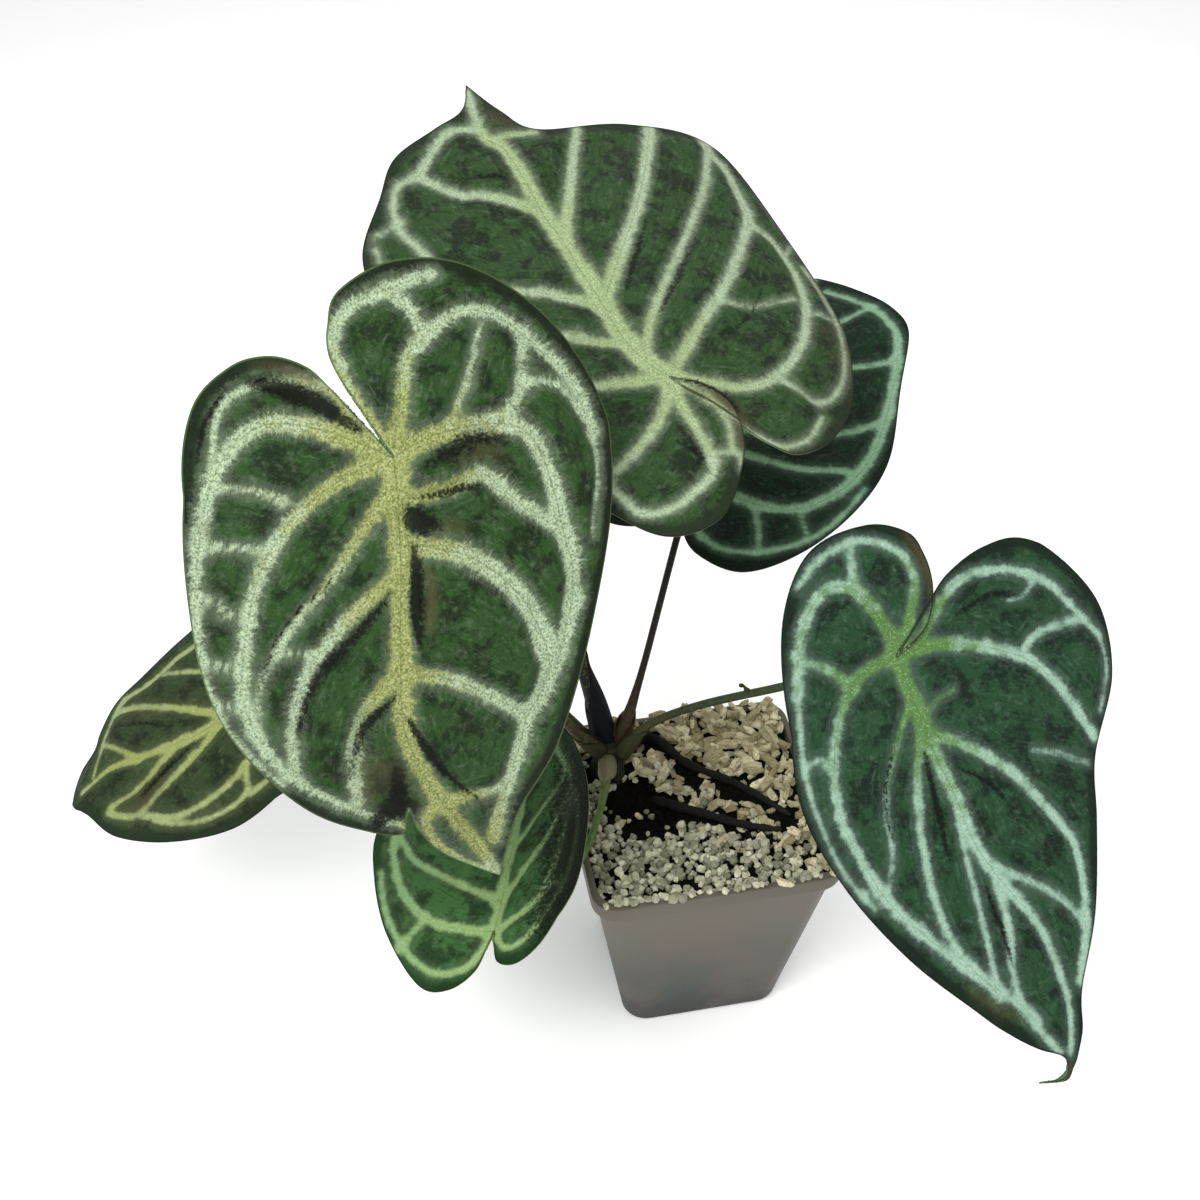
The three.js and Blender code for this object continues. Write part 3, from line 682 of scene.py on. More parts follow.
# Outline points that are measured in one go, which keeps the tables of distances small
BLOCK = 40


def vein_fields(leaf, veins, x, y):
    """Distances of flat points from the veins' bands, middles and starts, and how warm their green is."""
    spread = np.zeros_like(x)
    nearest = np.full_like(x, np.inf)
    middle = np.zeros_like(x)
    along = np.zeros_like(x)
    for number, (start_width, end_width, route) in enumerate(veins):
        reach = sum(math.dist(a, b) for a, b in zip(route, route[1:]))
        line = smooth_line(route, max(int(reach / VEIN_STEP), 6))
        width = np.linspace(start_width, end_width, len(line))
        tangent = unit(np.gradient(line, axis=0))
        away = distances(x, y, line)
        best = np.argmin(away - width, axis=1)
        rows = np.arange(len(x))
        outside = away[rows, best] - width[best]
        spread += np.exp(-outside / WEB)
        offset = np.stack([x, y], -1) - line[best]
        sideways = tangent[best, 0] * offset[:, 1] - tangent[best, 1] * offset[:, 0]
        closer = outside < nearest
        nearest = np.where(closer, outside, nearest)
        middle = np.where(closer, sideways, middle)
        along = np.where(closer, best * reach / len(line) + VEIN_SHIFT * number, along)
    band = -WEB * np.log(spread)
    from_stalk = np.hypot(x, y * np.where(y < 0, 1, 0.7))
    off_midrib = np.hypot(x, np.minimum(y, 0)) + np.maximum(y - leaf["gold"] * leaf["length"], 0)
    near = [(from_stalk / WARM_REACH["stalk"]) ** 2, (off_midrib / WARM_REACH["midrib"]) ** 2]
    return band, middle, along, np.exp(-np.minimum(*near))


def from_outline(outline, x, y):
    """How far flat points lie inside the outline."""
    nearest = np.full_like(x, np.inf)
    for start in range(0, len(outline), BLOCK):
        away = distances(x, y, outline[start:start + BLOCK])
        nearest = np.minimum(nearest, away.min(axis=1))
    return nearest


# %% [markdown]
# ## The leaves: relief
# The blade puffs up a little between its veins, like a quilt, and the veins lie in the seams. Leaf A has
# also creased where it unrolled, and the bottom of each crease is painted dark as shade. On the underside
# the veins stand out as ribs, so the blade is thicker along them. All of that is worked out from the
# lengths that each point keeps.

# %% Relief of a leaf
# How far a leaf puffs up between its veins, how high its slow waves are, and the seed of their directions
RELIEF = {"A": (2.2, 0.9, 3), "B": (1.2, 0.8, 8), "C": (1.0, 0.6, 12), "D": (1.4, 0.9, 21),
          "E": (1.1, 0.6, 34), "F": (0.9, 0.5, 55)}
WAVE_LENGTHS = (38, 24, 15, 9)
# The length at which a slow wave would have its full height, and how far in from the margin the relief
# begins and is full
FULL_WAVE = 60
CALM = (0.5, 7)
# How far outside a band a cell begins to puff up and is at its highest, and the share of it that lies below
# the sheet
PUFF = {"span": (-0.6, 3.6), "below": 0.35}
# The groove down the middle of a wide band, and how deep in the band it begins and is full
GROOVE = {"depth": 0.25, "half_width": 0.7, "span": (0.3, 1.2)}
# A crease is a narrow hollow: its half width, its depth, how dark its bottom is painted as shade, and its
# route
CREASES = {
    "A": [
        (3.9, 3.0, 1.0, [(-5, 15), (-8, 19), (-13, 21)]),
        (1.2, 1.4, 0.85, [(-6, 12), (-14, 12.5), (-22, 12), (-29, 13)]),
        (3.0, 1.4, 0.75, [(-8, 5), (-17, 1), (-26, -1), (-35, 2)]),
        (0.8, 0.8, 0.4, [(-24, -3), (-31, -2), (-37, 3)]),
        (2.0, 2.4, 1.0, [(-6.5, 25), (-6.5, 35), (-6.5, 45), (-6, 53)]),
        (1.7, 1.8, 0.9, [(1, 37), (9, 44), (19, 52), (27, 62), (32, 73)]),
        (1.0, 0.9, 0.7, [(10, 24), (20, 32), (30, 39), (38, 54), (42, 66)]),
        (1.6, 1.6, 0.85, [(3, 66), (9, 70), (15, 76), (22, 89)]),
        (1.6, 1.8, 0.95, [(1, 74), (-1, 83), (-3, 91), (-9, 106)]),
        (3.4, 2.2, 0.95, [(22, 107), (17, 104), (11, 97), (9, 88)]),
        (3.0, 2.0, 1.0, [(33, -27), (26, -24), (17, -18), (8, -9)]),
        (1.2, 0.8, 0.7, [(40, -26), (47, -19), (52, -8)]),
    ],
    "B": [
        (1.3, 1.1, 0.7, [(6, 36), (20, 50), (34, 64)]),
        (1.3, 1.1, 0.7, [(12, 24), (28, 36), (46, 50)]),
        (1.0, 1.0, 0.6, [(24, 6), (44, 14), (60, 26)]),
        (1.6, 1.1, 0.7, [(-4, 92), (-12, 97), (-20, 100)]),
        (2.2, 1.0, 0.85, [(2.5, -2.5), (7, -6), (12, -12), (14, -20)]),
        (2.0, 0.9, 0.7, [(-12, -22), (-8, -30), (-14, -34)]),
    ],
    "D": [
        (1.3, 1.3, 0.8, [(4, 30), (8, 46), (12, 62)]),
        (1.2, 1.1, 0.7, [(-4, 40), (-11, 50), (-16, 62)]),
        (1.2, 1.1, 0.7, [(5, 74), (7, 88), (9, 100)]),
        (1.0, 1.0, 0.7, [(9, 20), (18, 28), (24, 38), (26, 48)]),
        (1.4, 0.9, 0.7, [(-25, 1), (-40, 3), (-52, 10)]),
    ],
    "E": [
        (1.6, 1.0, 0.7, [(-4, 28), (-9, 40), (-14, 52)]),
        (1.4, 0.9, 0.6, [(6, 34), (14, 48), (19, 60)]),
    ],
    "F": [
        # Painted shade: a crease with no depth that darkens the right half of leaf F, which faces away from
        # the light
        (16.0, 0.0, 0.8, [(22, -8), (28, 25), (18, 68)]),
    ],
}
# Old folds that ripple the skin beside the vein to leaf A's left lobe, with their bottoms painted dark as
# shade
FOLDS = 6
FOLD_GAP = 1.5
for fold in range(FOLDS):
    out = FOLD_GAP * fold
    route = [(-13 - out, 8), (-18 - 0.9 * out, 2), (-25 - 0.5 * out, -3 + 0.4 * out), (-33, -1 + out)]
    CREASES["A"].append((0.5, 0.7, 0.6, route))
# A stain is a browned patch: its half width, how brown it is, and its route
STAINS = {
    "A": [(3.0, 0.6, [(-10, 24), (-16, 22), (-20, 24)]), (2.2, 0.8, [(-9, 31), (-10, 40), (-9, 50)]),
          (4.5, 0.6, [(-20, 5), (-27, 1), (-31, 5)]), (2.0, 0.6, [(31, -31), (22, -28), (14, -21)]),
          (5.0, 0.6, [(8, 96), (14, 86), (20, 96)])],
    "B": [(4.0, 0.95, [(4, -8), (10, -14), (11, -24), (6, -34)]), (3.0, 0.6, [(72, -14), (82, 6), (87, 34)]),
          (5.0, 0.35, [(66, 2), (70, -8), (60, -24)]), (3.5, 0.5, [(2, 123), (5, 117), (9, 113)])],
    "D": [(2.6, 0.9, [(-21, -8), (-26, -16), (-27, -30)]), (2.4, 0.5, [(26, 96), (20, 106), (14, 114)]),
          (4.0, 1.5, [(6, 134), (5, 138), (15, 134), (18, 130)])],
    "E": [(5.0, 0.6, [(-10, 40), (-14, 46), (-16, 56)]), (4.0, 0.4, [(14, 40), (20, 50), (20, 58)])],
}


def smooth_step(value, low, high):
    """0 below low, 1 above high, and a soft rise between them."""
    share = np.clip((value - low) / (high - low), 0, 1)
    return share * share * (3 - 2 * share)


def along_route(width, route, x, y):
    """How close points lie to a route, from 0 to 1. It thins out towards both ends."""
    line = smooth_line(route, 40)
    away = distances(x, y, line)
    taper = np.sin(np.pi * (0.12 + 0.8 * away.argmin(axis=1) / len(line)))
    return np.exp(-((away.min(axis=1) / (width * (0.4 + 0.6 * taper))) ** 2)) * np.sqrt(taper)


def relief(name, band, middle, edge, x, y):
    """How far each point of a leaf stands out of the bent sheet in millimetres, how much painted shade
    darkens it where it lies in the creases, and how brown it is."""
    puff, wave_height, seed = RELIEF[name]
    calm = smooth_step(edge, *CALM)
    height = puff * (smooth_step(band, *PUFF["span"]) - PUFF["below"]) * calm
    groove = np.exp(-((middle / GROOVE["half_width"]) ** 2))
    height -= GROOVE["depth"] * groove * smooth_step(-band, *GROOVE["span"])
    draw = np.random.default_rng(seed)
    for size in WAVE_LENGTHS:
        angle, phase = draw.uniform(0, 2 * math.pi, 2)
        wave = np.sin(2 * math.pi * (x * math.cos(angle) + y * math.sin(angle)) / size + phase)
        height += wave_height * size / FULL_WAVE * wave * calm
    dark = np.zeros_like(x)
    for width, depth, tone, route in CREASES.get(name, []):
        hollow = along_route(width, route, x, y)
        height -= depth * hollow * calm
        dark = np.maximum(dark, tone * hollow)
    brown = np.zeros_like(x)
    for width, tone, route in STAINS.get(name, []):
        brown = np.maximum(brown, tone * along_route(width, route, x, y))
    return height, dark, brown


print("creases:", {name: len(routes) for name, routes in CREASES.items()})


# %% [markdown]
# ## The leaves: materials
# A leaf's top is a waxy skin over green flesh: satin, with a soft sheen. The pale bands are the same skin
# over air-filled cells, so they are bright and a little rough, frayed at their edges, yellow-green near
# the midrib and silver-green farther out. The underside is paler and matt.

# %% Leaf colours
# For each leaf: the flesh beside a vein and in the middle of a cell, the bands far out and by the midrib, the
# dark strip inside the margin, and the margin itself
LEAF_COLOURS = {
    "A": (0x091607, 0x28441E, 0xA9BC9C, 0x949B5E, 0x0B1608, 0x4E6038),
    "B": (0x0B150A, 0x28421F, 0xA2B596, 0x98AC7C, 0x1A2615, 0x201F16),
    "C": (0x05120A, 0x0C2813, 0x7FA585, 0x7BA27A, 0x06140A, 0x101A12),
    "D": (0x07120A, 0x204026, 0x96B6A2, 0x567C42, 0x0B1910, 0x121A12),
    "E": (0x10190B, 0x2E3E23, 0x96A672, 0x929E5C, 0x1C2A19, 0x202218),
    "F": (0x0C200E, 0x3A6032, 0x82A674, 0x8BAA6C, 0x123012, 0x142412),
}
# How much a leaf's bands fray along the veins, how grainy their edges are, how far they fade out, and how
# strong the haze is that they leave beside them
BAND_EDGE = {"A": (5.5, 4.0, 0.6, 0.17), "B": (3.6, 3.0, 1.1, 0.2), "C": (1.8, 1.8, 1.0, 0.12),
             "D": (2.2, 2.2, 0.9, 0.12), "E": (1.4, 1.4, 0.7, 0.12), "F": (1.6, 1.6, 0.9, 0.12)}
# How far a band's edge wanders slowly, and the values that each point of a blade keeps for its material
WANDER = 2.6
LEAF_VALUES = ("band", "middle", "along", "warm", "edge", "crease_shade", "stain")


def leaf_material(name):
    """The top skin of a leaf."""
    fray, grainy, fade, misty = BAND_EDGE[name]
    deep, cell, silver, gold, rim, lip = (linear(colour) for colour in LEAF_COLOURS[name])
    material, shader, add = start_material(f"waxy leaf skin {name}")
    place = add("TexCoord", out="Object")
    band, middle, along, warm, edge, crease_shade, stain = (
        add("Attribute", out="Fac", attribute_name=key) for key in LEAF_VALUES)
    # Six grains of the skin: the size of their marks in millimetres, their detail and their roughness
    slow, speckle, blotch, fine, wisps, lumps = (
        add("TexNoise", {"Vector": place, "Scale": marks(size), "Detail": detail, "Roughness": rough})
        for size, detail, rough in ((4, 3.0, 0.6), (0.7, 3.0, 0.7), (9, 5.0, 0.65), (1.2, 4.0, 0.7),
                                    (3, 6.0, 0.7), (1.8, 4.0, 0.7)))

    # The pale band is wider near the stalk, with fine teeth that stand across the vein and a slow wander.
    # A slim band frays less than a wide one.
    across = add("Math", {0: band, 1: 0.3}, operation="MULTIPLY")
    comb = add("CombineXYZ", {"X": along, "Y": across})
    teeth = add("TexNoise", {"Vector": comb, "Scale": 0.9, "Detail": 4.0, "Roughness": 0.7})
    off_middle = add("Math", {0: middle}, operation="ABSOLUTE")
    half_width = add("Math", {0: off_middle, 1: band}, operation="SUBTRACT")
    loose = add("MapRange", {0: half_width, 1: 0.6, 2: 1.5, 3: 0.65})
    frayed = -(fray + grainy + WANDER) / 2
    for grain, much in ((teeth, fray), (slow, WANDER), (speckle, grainy)):
        frayed = add("Math", {0: grain, 1: much, 2: frayed}, operation="MULTIPLY_ADD")
    ragged = add("Math", {0: warm, 1: -0.16 * fray, 2: band}, operation="MULTIPLY_ADD")
    ragged = add("Math", {0: frayed, 1: loose, 2: ragged}, operation="MULTIPLY_ADD")

    # The flesh between the veins is dark beside them and greener in the middle, with blotches, flecks,
    # wisps and streaks that run along the veins, a dark strip inside the margin, and a haze by the bands
    inner = add("Math", {0: blotch, 1: 6.0, 2: ragged}, operation="MULTIPLY_ADD")
    inner = add("MapRange", {0: inner, 1: 2.4, 2: 6.5, 3: 0.3}, **SOFT)
    flesh = add("Mix", {0: inner, 6: deep, 7: cell}, **BLEND)
    slide = add("Math", {0: along, 1: 0.22}, operation="MULTIPLY")
    grain = add("CombineXYZ", {"X": slide, "Y": middle})
    streaks = add("TexNoise", {"Vector": grain, "Scale": 0.8, "Detail": 4.0, "Roughness": 0.6})
    for pattern, start, full, strength, colour in (
            (blotch, 0.54, 0.4, 0.75, deep), (streaks, 0.5, 0.3, 0.6, deep),
            (streaks, 0.55, 0.75, 0.1, silver), (fine, 0.55, 0.8, 0.14, silver),
            (wisps, 0.5, 0.8, 0.14, silver), (edge, 5.0, 2.5, 0.85, rim), (ragged, 3.2, 0.2, misty, silver)):
        share = add("MapRange", {0: pattern, 1: start, 2: full, 4: strength}, **SOFT)
        flesh = add("Mix", {0: share, 6: flesh, 7: colour}, **BLEND)

    # The band is yellow-green near the midrib, with dark and bright grains, and a fine olive groove down
    # its middle
    golden = add("Math", {0: slow, 1: 1.2, 2: warm}, operation="MULTIPLY_ADD")
    frost = silver
    for pattern, start, full, strength, colour in (
            (golden, 0.6, 1.4, 1.0, gold), (speckle, 0.56, 0.36, 0.12 * fray, cell),
            (speckle, 0.54, 0.7, 0.4, linear(0xD8DDBE))):
        share = add("MapRange", {0: pattern, 1: start, 2: full, 4: strength}, **SOFT)
        frost = add("Mix", {0: share, 6: frost, 7: colour}, **BLEND)
    seam = add("MapRange", {0: off_middle, 1: 0.36, 2: 0.1}, **SOFT)
    deep_band = add("MapRange", {0: band, 1: -0.8, 2: -1.8, 4: 0.35}, **SOFT)
    seam = add("Math", {0: seam, 1: deep_band}, operation="MULTIPLY")
    frost = add("Mix", {0: seam, 6: frost, 7: linear(0x4A5626)}, **BLEND)
    pale = add("MapRange", {0: ragged, 1: fade, 2: -fade}, **SOFT)
    skin = add("Mix", {0: pale, 6: flesh, 7: frost}, **BLEND)

    # Old skin is browned in places, the margin has its own colour, and the bottom of a crease is painted
    # nearly black as shade
    worn = add("Math", {0: fine, 1: 1.5}, operation="MULTIPLY")
    worn = add("Math", {0: stain, 1: worn}, operation="MULTIPLY")
    skin = add("Mix", {0: worn, 6: skin, 7: linear(0x4C452C)}, **BLEND)
    # Painted shade: the crease value, grained by fine noise, turns the bottom of a crease nearly black
    torn = add("Math", {0: fine, 1: 1.6, 2: crease_shade}, operation="MULTIPLY_ADD")
    for pattern, start, full, strength, colour in (
            (edge, 0.7, 0.3, 0.8, lip), (torn, 0.98, 1.5, 0.92, linear(0x090C07))):
        share = add("MapRange", {0: pattern, 1: start, 2: full, 4: strength}, **SOFT)
        skin = add("Mix", {0: share, 6: skin, 7: colour}, **BLEND)

    gloss = add("MapRange", {0: fine, 1: 0.3, 2: 0.7, 3: 0.42, 4: 0.6})
    relief = add("Bump", {"Height": lumps, "Distance": 0.8 * MM, "Strength": 0.9})
    fill(shader, {"Base Color": skin, "Roughness": gloss, "Specular IOR Level": 0.1, "Normal": relief})
    return material


def underside_material(name):
    """The matt, paler back of a leaf, with its ribs paler still."""
    cell, silver = (linear(colour) for colour in LEAF_COLOURS[name][1:3])
    material, shader, add = start_material(f"matt leaf back {name}")
    place = add("TexCoord", out="Object")
    band = add("Attribute", out="Fac", attribute_name="band")
    cloud = add("TexNoise", {"Vector": place, "Scale": marks(6), "Detail": 4.0})
    ribs = add("Mix", {0: 0.55, 6: silver, 7: linear(0x8E9F5E)}, **BLEND)
    back = add("Mix", {0: 0.42, 6: cell, 7: linear(0x7E9464)}, **BLEND)
    for pattern, start, full, strength, colour in (
            (cloud, 0.35, 0.7, 0.5, cell), (band, 0.2, -0.8, 0.75, ribs)):
        share = add("MapRange", {0: pattern, 1: start, 2: full, 4: strength}, **SOFT)
        back = add("Mix", {0: share, 6: back, 7: colour}, **BLEND)
    fine = add("TexNoise", {"Vector": place, "Scale": marks(1.4), "Detail": 4.0})
    relief = add("Bump", {"Height": fine, "Distance": 0.25 * MM, "Strength": 0.6})
    fill(shader, {"Base Color": back, "Roughness": 0.62, "Specular IOR Level": 0.25, "Normal": relief})
    return material


# %% [markdown]
# ## The leaves: blades
# Each half of a blade starts as a flat grid. Its rows run from the midrib to the outline and its columns
# fan round the lobe to the tip, so the grid follows the leaf as its veins do. The halves are joined and
# merged along the midrib, bent, raised by the relief, and given their thickness by a Solidify modifier
# whose thickness follows the ribs.

# %% Build a blade
# For each leaf: the share of its columns that fan round the lobe, its columns, and its rows
GRIDS = {"A": (0.48, 230, 78), "B": (0.5, 240, 84), "C": (0.42, 170, 66), "D": (0.44, 230, 70),
         "E": (0.42, 130, 48), "F": (0.42, 140, 46)}
# The blade's thickness at its thinnest and on its ribs, and the steps in which it grows between them
BLADE = {"thin": 0.35, "ribs": 1.5, "steps": 8}


def margin(leaf, half, count):
    """The outline of one half, from the stalk's end round the lobe to the tip."""
    return smooth_line([(0, 0), *leaf[half], leaf["spine"][-1]], count)


def half_blade(name, half):
    """One half of a flat blade: a grid whose columns run from the midrib to the outline. Its z is how high
    it lies over the other half."""
    leaf = LEAVES[name]
    lobe_share, columns, rows = GRIDS[name]
    start_piece()
    bpy.ops.mesh.primitive_grid_add(x_subdivisions=columns, y_subdivisions=rows, size=2)
    piece = bpy.context.object
    flat = points_of(piece) * MM
    column = np.rint((flat[:, 0] + 1) / 2 * columns).astype(int)
    out = (flat[:, 1:2] + 1) / 2
    spine = smooth_line(leaf["spine"], 400)
    level = lengths_along(spine)[-1] * smooth_step(np.linspace(0, 1, columns + 1), lobe_share, 1)
    feet = points_at(level, spine)
    rim = margin(leaf, half, columns)
    flat[:, :2] = feet[column] + (rim - feet)[column] * out
    crossed = flat[:, 0] * (1 if half == "left" else -1)
    flat[:, 2] = leaf.get("over", {}).get(half, 0) * smooth_step(crossed, 1, 7)
    place_points(piece, flat)
    if half == "right":
        piece.data.flip_normals()
    return piece


def blade(name):
    """A finished leaf blade."""
    leaf = LEAVES[name]
    other, piece = (half_blade(name, half) for half in ("right", "left"))
    select_only(piece, other)
    bpy.ops.object.join()
    edit_all()
    bpy.ops.mesh.remove_doubles(threshold=0.02 * MM)
    bpy.ops.mesh.dissolve_degenerate(threshold=0.005 * MM)
    bpy.ops.object.mode_set(mode="OBJECT")

    flat = points_of(piece)
    x, y = flat[:, 0], flat[:, 1]
    band, middle, along, warm = vein_fields(leaf, VEINS[name], x, y)
    edge = from_outline(np.vstack([margin(leaf, half, 1600) for half in ("right", "left")]), x, y)
    lift, crease_shade, stain = relief(name, band, middle, edge, x, y)
    lift += BLADE["thin"] / 2 + flat[:, 2]
    bent = bend(leaf, x, y) + bent_normal(leaf, x, y) * lift[:, None]
    basis = np.array(leaf_basis(leaf))
    place_points(piece, bent @ basis[:3, :3].T + basis[:3, 3])
    for key, values in zip(LEAF_VALUES, (band, middle, along, warm, edge, crease_shade, stain)):
        store(piece, key, values)

    for material in (leaf_material(name), underside_material(name)):
        piece.data.materials.append(material)
    ribs = piece.vertex_groups.new(name="ribs")
    thick = smooth_step(-band, -0.2, 1.4) * smooth_step(edge, 0.5, 5)
    for step in range(BLADE["steps"] + 1):
        rows = np.flatnonzero(np.round(thick * BLADE["steps"]) == step)
        ribs.add(rows.tolist(), step / BLADE["steps"], "REPLACE")
    apply_modifier(piece, "SOLIDIFY", thickness=BLADE["ribs"] * MM, offset=-1, use_even_offset=False,
                   vertex_group="ribs", thickness_vertex_group=BLADE["thin"] / BLADE["ribs"],
                   material_offset=1, material_offset_rim=1)
    piece.vertex_groups.clear()
    bpy.ops.object.shade_smooth()
    letter = name.lower()
    finish_piece(piece, f"leaf_blade_{letter}", [f"blade_{letter}"])


for name in LEAVES:
    blade(name)

# %% [markdown]
# ## The leaf stalks
# A stalk is round and a little thicker where a sheath wraps its foot and where it joins the blade. A
# curve through a few points is given a round section whose radius changes along it, and is then made a
# mesh. The stalk keeps how far along it each point lies, so that its colour can run from brown to green.

# %% Stalk routes
STALKS = {
    "A": {"foot": 2.8, "sheath": 14, "radius": 1.7,
          "route": [(-30, 23, 96), (-46, 21, 121), (-66, 19, 175), (-85, 3, 234)]},
    "B": {"foot": 3.3, "sheath": 30, "radius": 1.9,
          "route": [(-27, 28, 95), (-31, 33, 112), (-35, 37, 135), (-33, 41, 162), (-25, 43, 190),
                    (-13, 43, 218)]},
    "C": {"foot": 3.1, "sheath": 16, "radius": 1.3,
          "route": [(-23, 27, 95), (-18, 30, 107), (-11, 38, 123), (-4, 47, 141), (4, 59, 158)]},
    "D": {"foot": 2.4, "sheath": 12, "radius": 1.5,
          "route": [(-23, 21, 95), (-13, 22, 107), (5, 17, 119), (32, 4, 136), (49, -7, 151)]},
    "E": {"foot": 2.6, "sheath": 12, "radius": 1.5,
          "route": [(-30, 26, 94), (-49, 43, 108), (-86, 49, 118), (-118, 52, 113)]},
    "F": {"foot": 2.2, "sheath": 12, "radius": 1.3,
          "route": [(-28, 20, 94), (-32, 5, 95), (-37, -7, 94), (-45, -22, 93), (-60, -40, 90)]},
}
# How far below the blade a stalk turns straight up to it, how far below it ends, and the swelling there
STALK_RISE = 8
STALK_SINK = 0.7
KNEE = {"swell": 0.3, "down": 5, "reach": 5}
# Colours of each stalk from its foot to its leaf. Stalk B's blue-black foot is painted shade, deep in shadow
# behind leaf A
STALK_COLOURS = {
    "A": (0x3A3322, 0x5C6236, 0x8E9A55), "B": (0x14161C, 0x2A2A24, 0x7E8C50),
    "C": (0x4A3F2A, 0x2A2322, 0x4F5C3C), "D": (0x4E4A2C, 0x39402A, 0x55703C),
    "E": (0x4A4A2A, 0x5C6436, 0x8A9450), "F": (0x6B7142, 0x55703C, 0x7D9A58),
}


# %% Limbs: round pieces along a route
def limb(route, radii, sides=14):
    """A round tube along a route with a radius at each point, made a mesh with how far along it each
    point lies. Millimetres."""
    data = bpy.data.curves.new("limb", "CURVE")
    data.dimensions = "3D"
    data.bevel_depth = MM
    data.bevel_resolution = sides // 2 - 2
    data.use_fill_caps = True
    spline = data.splines.new("POLY")
    spline.points.add(len(route) - 1)
    spline.points.foreach_set("co", np.c_[np.asarray(route) * MM, np.ones(len(route))].ravel())
    spline.points.foreach_set("radius", np.asarray(radii, float))
    piece = bpy.data.objects.new("limb", data)
    bpy.context.collection.objects.link(piece)
    select_only(piece)
    bpy.ops.object.convert(target="MESH")
    edit_all()
    bpy.ops.mesh.remove_doubles(threshold=0.01 * MM)
    bpy.ops.mesh.normals_make_consistent(inside=False)
    bpy.ops.object.mode_set(mode="OBJECT")
    line = np.asarray(route)
    steps = lengths_along(line)
    points = points_of(piece)
    nearest = np.argmin(((points[:, None] - line) ** 2).sum(-1), axis=1)
    store(piece, "along", steps[nearest] / steps[-1])
    return piece


def skin_material(name, colours, size=1.6, roughness=0.5):
    """Smooth plant skin that runs through three colours along a limb, with fine flecks."""
    foot, trunk, head = colours
    material, shader, add = start_material(name)
    place = add("TexCoord", out="Object")
    along = add("Attribute", out="Fac", attribute_name="along")
    fleck = add("TexNoise", {"Vector": place, "Scale": marks(size), "Detail": 4.0, "Roughness": 0.65})
    skin = linear(foot)
    for pattern, start, full, strength, colour in (
            (along, 0.05, 0.3, 1.0, trunk), (along, 0.72, 0.98, 1.0, head),
            (fleck, 0.5, 0.75, 0.45, head), (fleck, 0.45, 0.25, 0.5, 0x1E1C14)):
        share = add("MapRange", {0: pattern, 1: start, 2: full, 4: strength}, **SOFT)
        skin = add("Mix", {0: share, 6: skin, 7: linear(colour)}, **BLEND)
    relief = add("Bump", {"Height": fleck, "Distance": 0.3 * MM, "Strength": 0.6})
    fill(shader, {"Base Color": skin, "Roughness": roughness, "Specular IOR Level": 0.2, "Normal": relief})
    return material


# %% Stalks
def under_blade(name, depth):
    """The point this far below the place where a leaf's veins meet."""
    return tuple(leaf_basis(LEAVES[name]) @ Vector((0, 0, -depth)))


def stalk_radius(name, along):
    """A stalk's radius at lengths along it. Its foot is thick, and thins out over the sheath."""
    shape = STALKS[name]
    return shape["radius"] + (shape["foot"] - shape["radius"]) * np.exp(-((along / shape["sheath"]) ** 2))


def stalk(name):
    """A leaf stalk from the stem to the back of its blade."""
    ends = [under_blade(name, depth) for depth in (STALK_RISE, STALK_SINK)]
    line = smooth_line([*STALKS[name]["route"], *ends], 90, runs_on=True)
    along = lengths_along(line)
    to_knee = (along[-1] - along - KNEE["down"]) / KNEE["reach"]
    piece = limb(line, stalk_radius(name, along) + KNEE["swell"] * np.exp(-(to_knee**2)))
    letter = name.lower()
    finish_piece(piece, f"leaf_stalk_{letter}", [f"stalk_{letter}"],
                 [skin_material(f"stalk skin {name}", STALK_COLOURS[name])])


for name in STALKS:
    stalk(name)

# %% [markdown]
# ## The bract on stalk D
# A withered scrap of bract still clings halfway up one stalk. It is a short limb that curls over at its
# tip, set on the stalk's own route.

# %% Bract
# How far up its stalk the bract stands, the points it bends through from there, and the steps it is cut into
NUB_SHARE = 0.47
NUB_RISE = [(0, 0, 0), (-1, 0, 2.5), (-2.2, 0, 4.4), (-3.6, 0, 4.9)]
NUB_STEPS = 16

d_line = smooth_line([*STALKS["D"]["route"], under_blade("D", STALK_RISE)], 200, runs_on=True)
d_steps = lengths_along(d_line)
nub_foot = d_line[np.searchsorted(d_steps, NUB_SHARE * d_steps[-1])]
nub_line = smooth_line([nub_foot + np.array(step) for step in NUB_RISE], NUB_STEPS, runs_on=True)
share = np.linspace(0, 1, NUB_STEPS + 1)
nub = limb(nub_line, 1.1 - 0.65 * share + 0.25 * np.sin(9 * share), sides=10)
finish_piece(nub, "withered_bract",
             materials=[skin_material("withered bract", (0x55552F, 0x3C3A24, 0x2A2418), 0.8, 0.8)])

# %% [markdown]
# ## The stem and its sheaths
# The stem is a short knob, ringed by the scars of old leaves and wrapped in papery sheaths that dried
# brown; sheath B is blue-black instead, as painted shade where it stands in deep shadow. It starts as a
# cylinder with rings, which are pushed in and out in turn. Each sheath is a strip of a cone, folded round
# the foot of its stalk and torn to a point.

# %% Stem
STEM = {"at": (-27, 24), "heights": (80, 86.5, 93, 98), "radii": (6.5, 6.2, 5.2, 3.5)}
# How far the old leaf scars and the three flats stand out of the stem
SCAR_RISE = 0.35
FLAT_RISE = 0.3


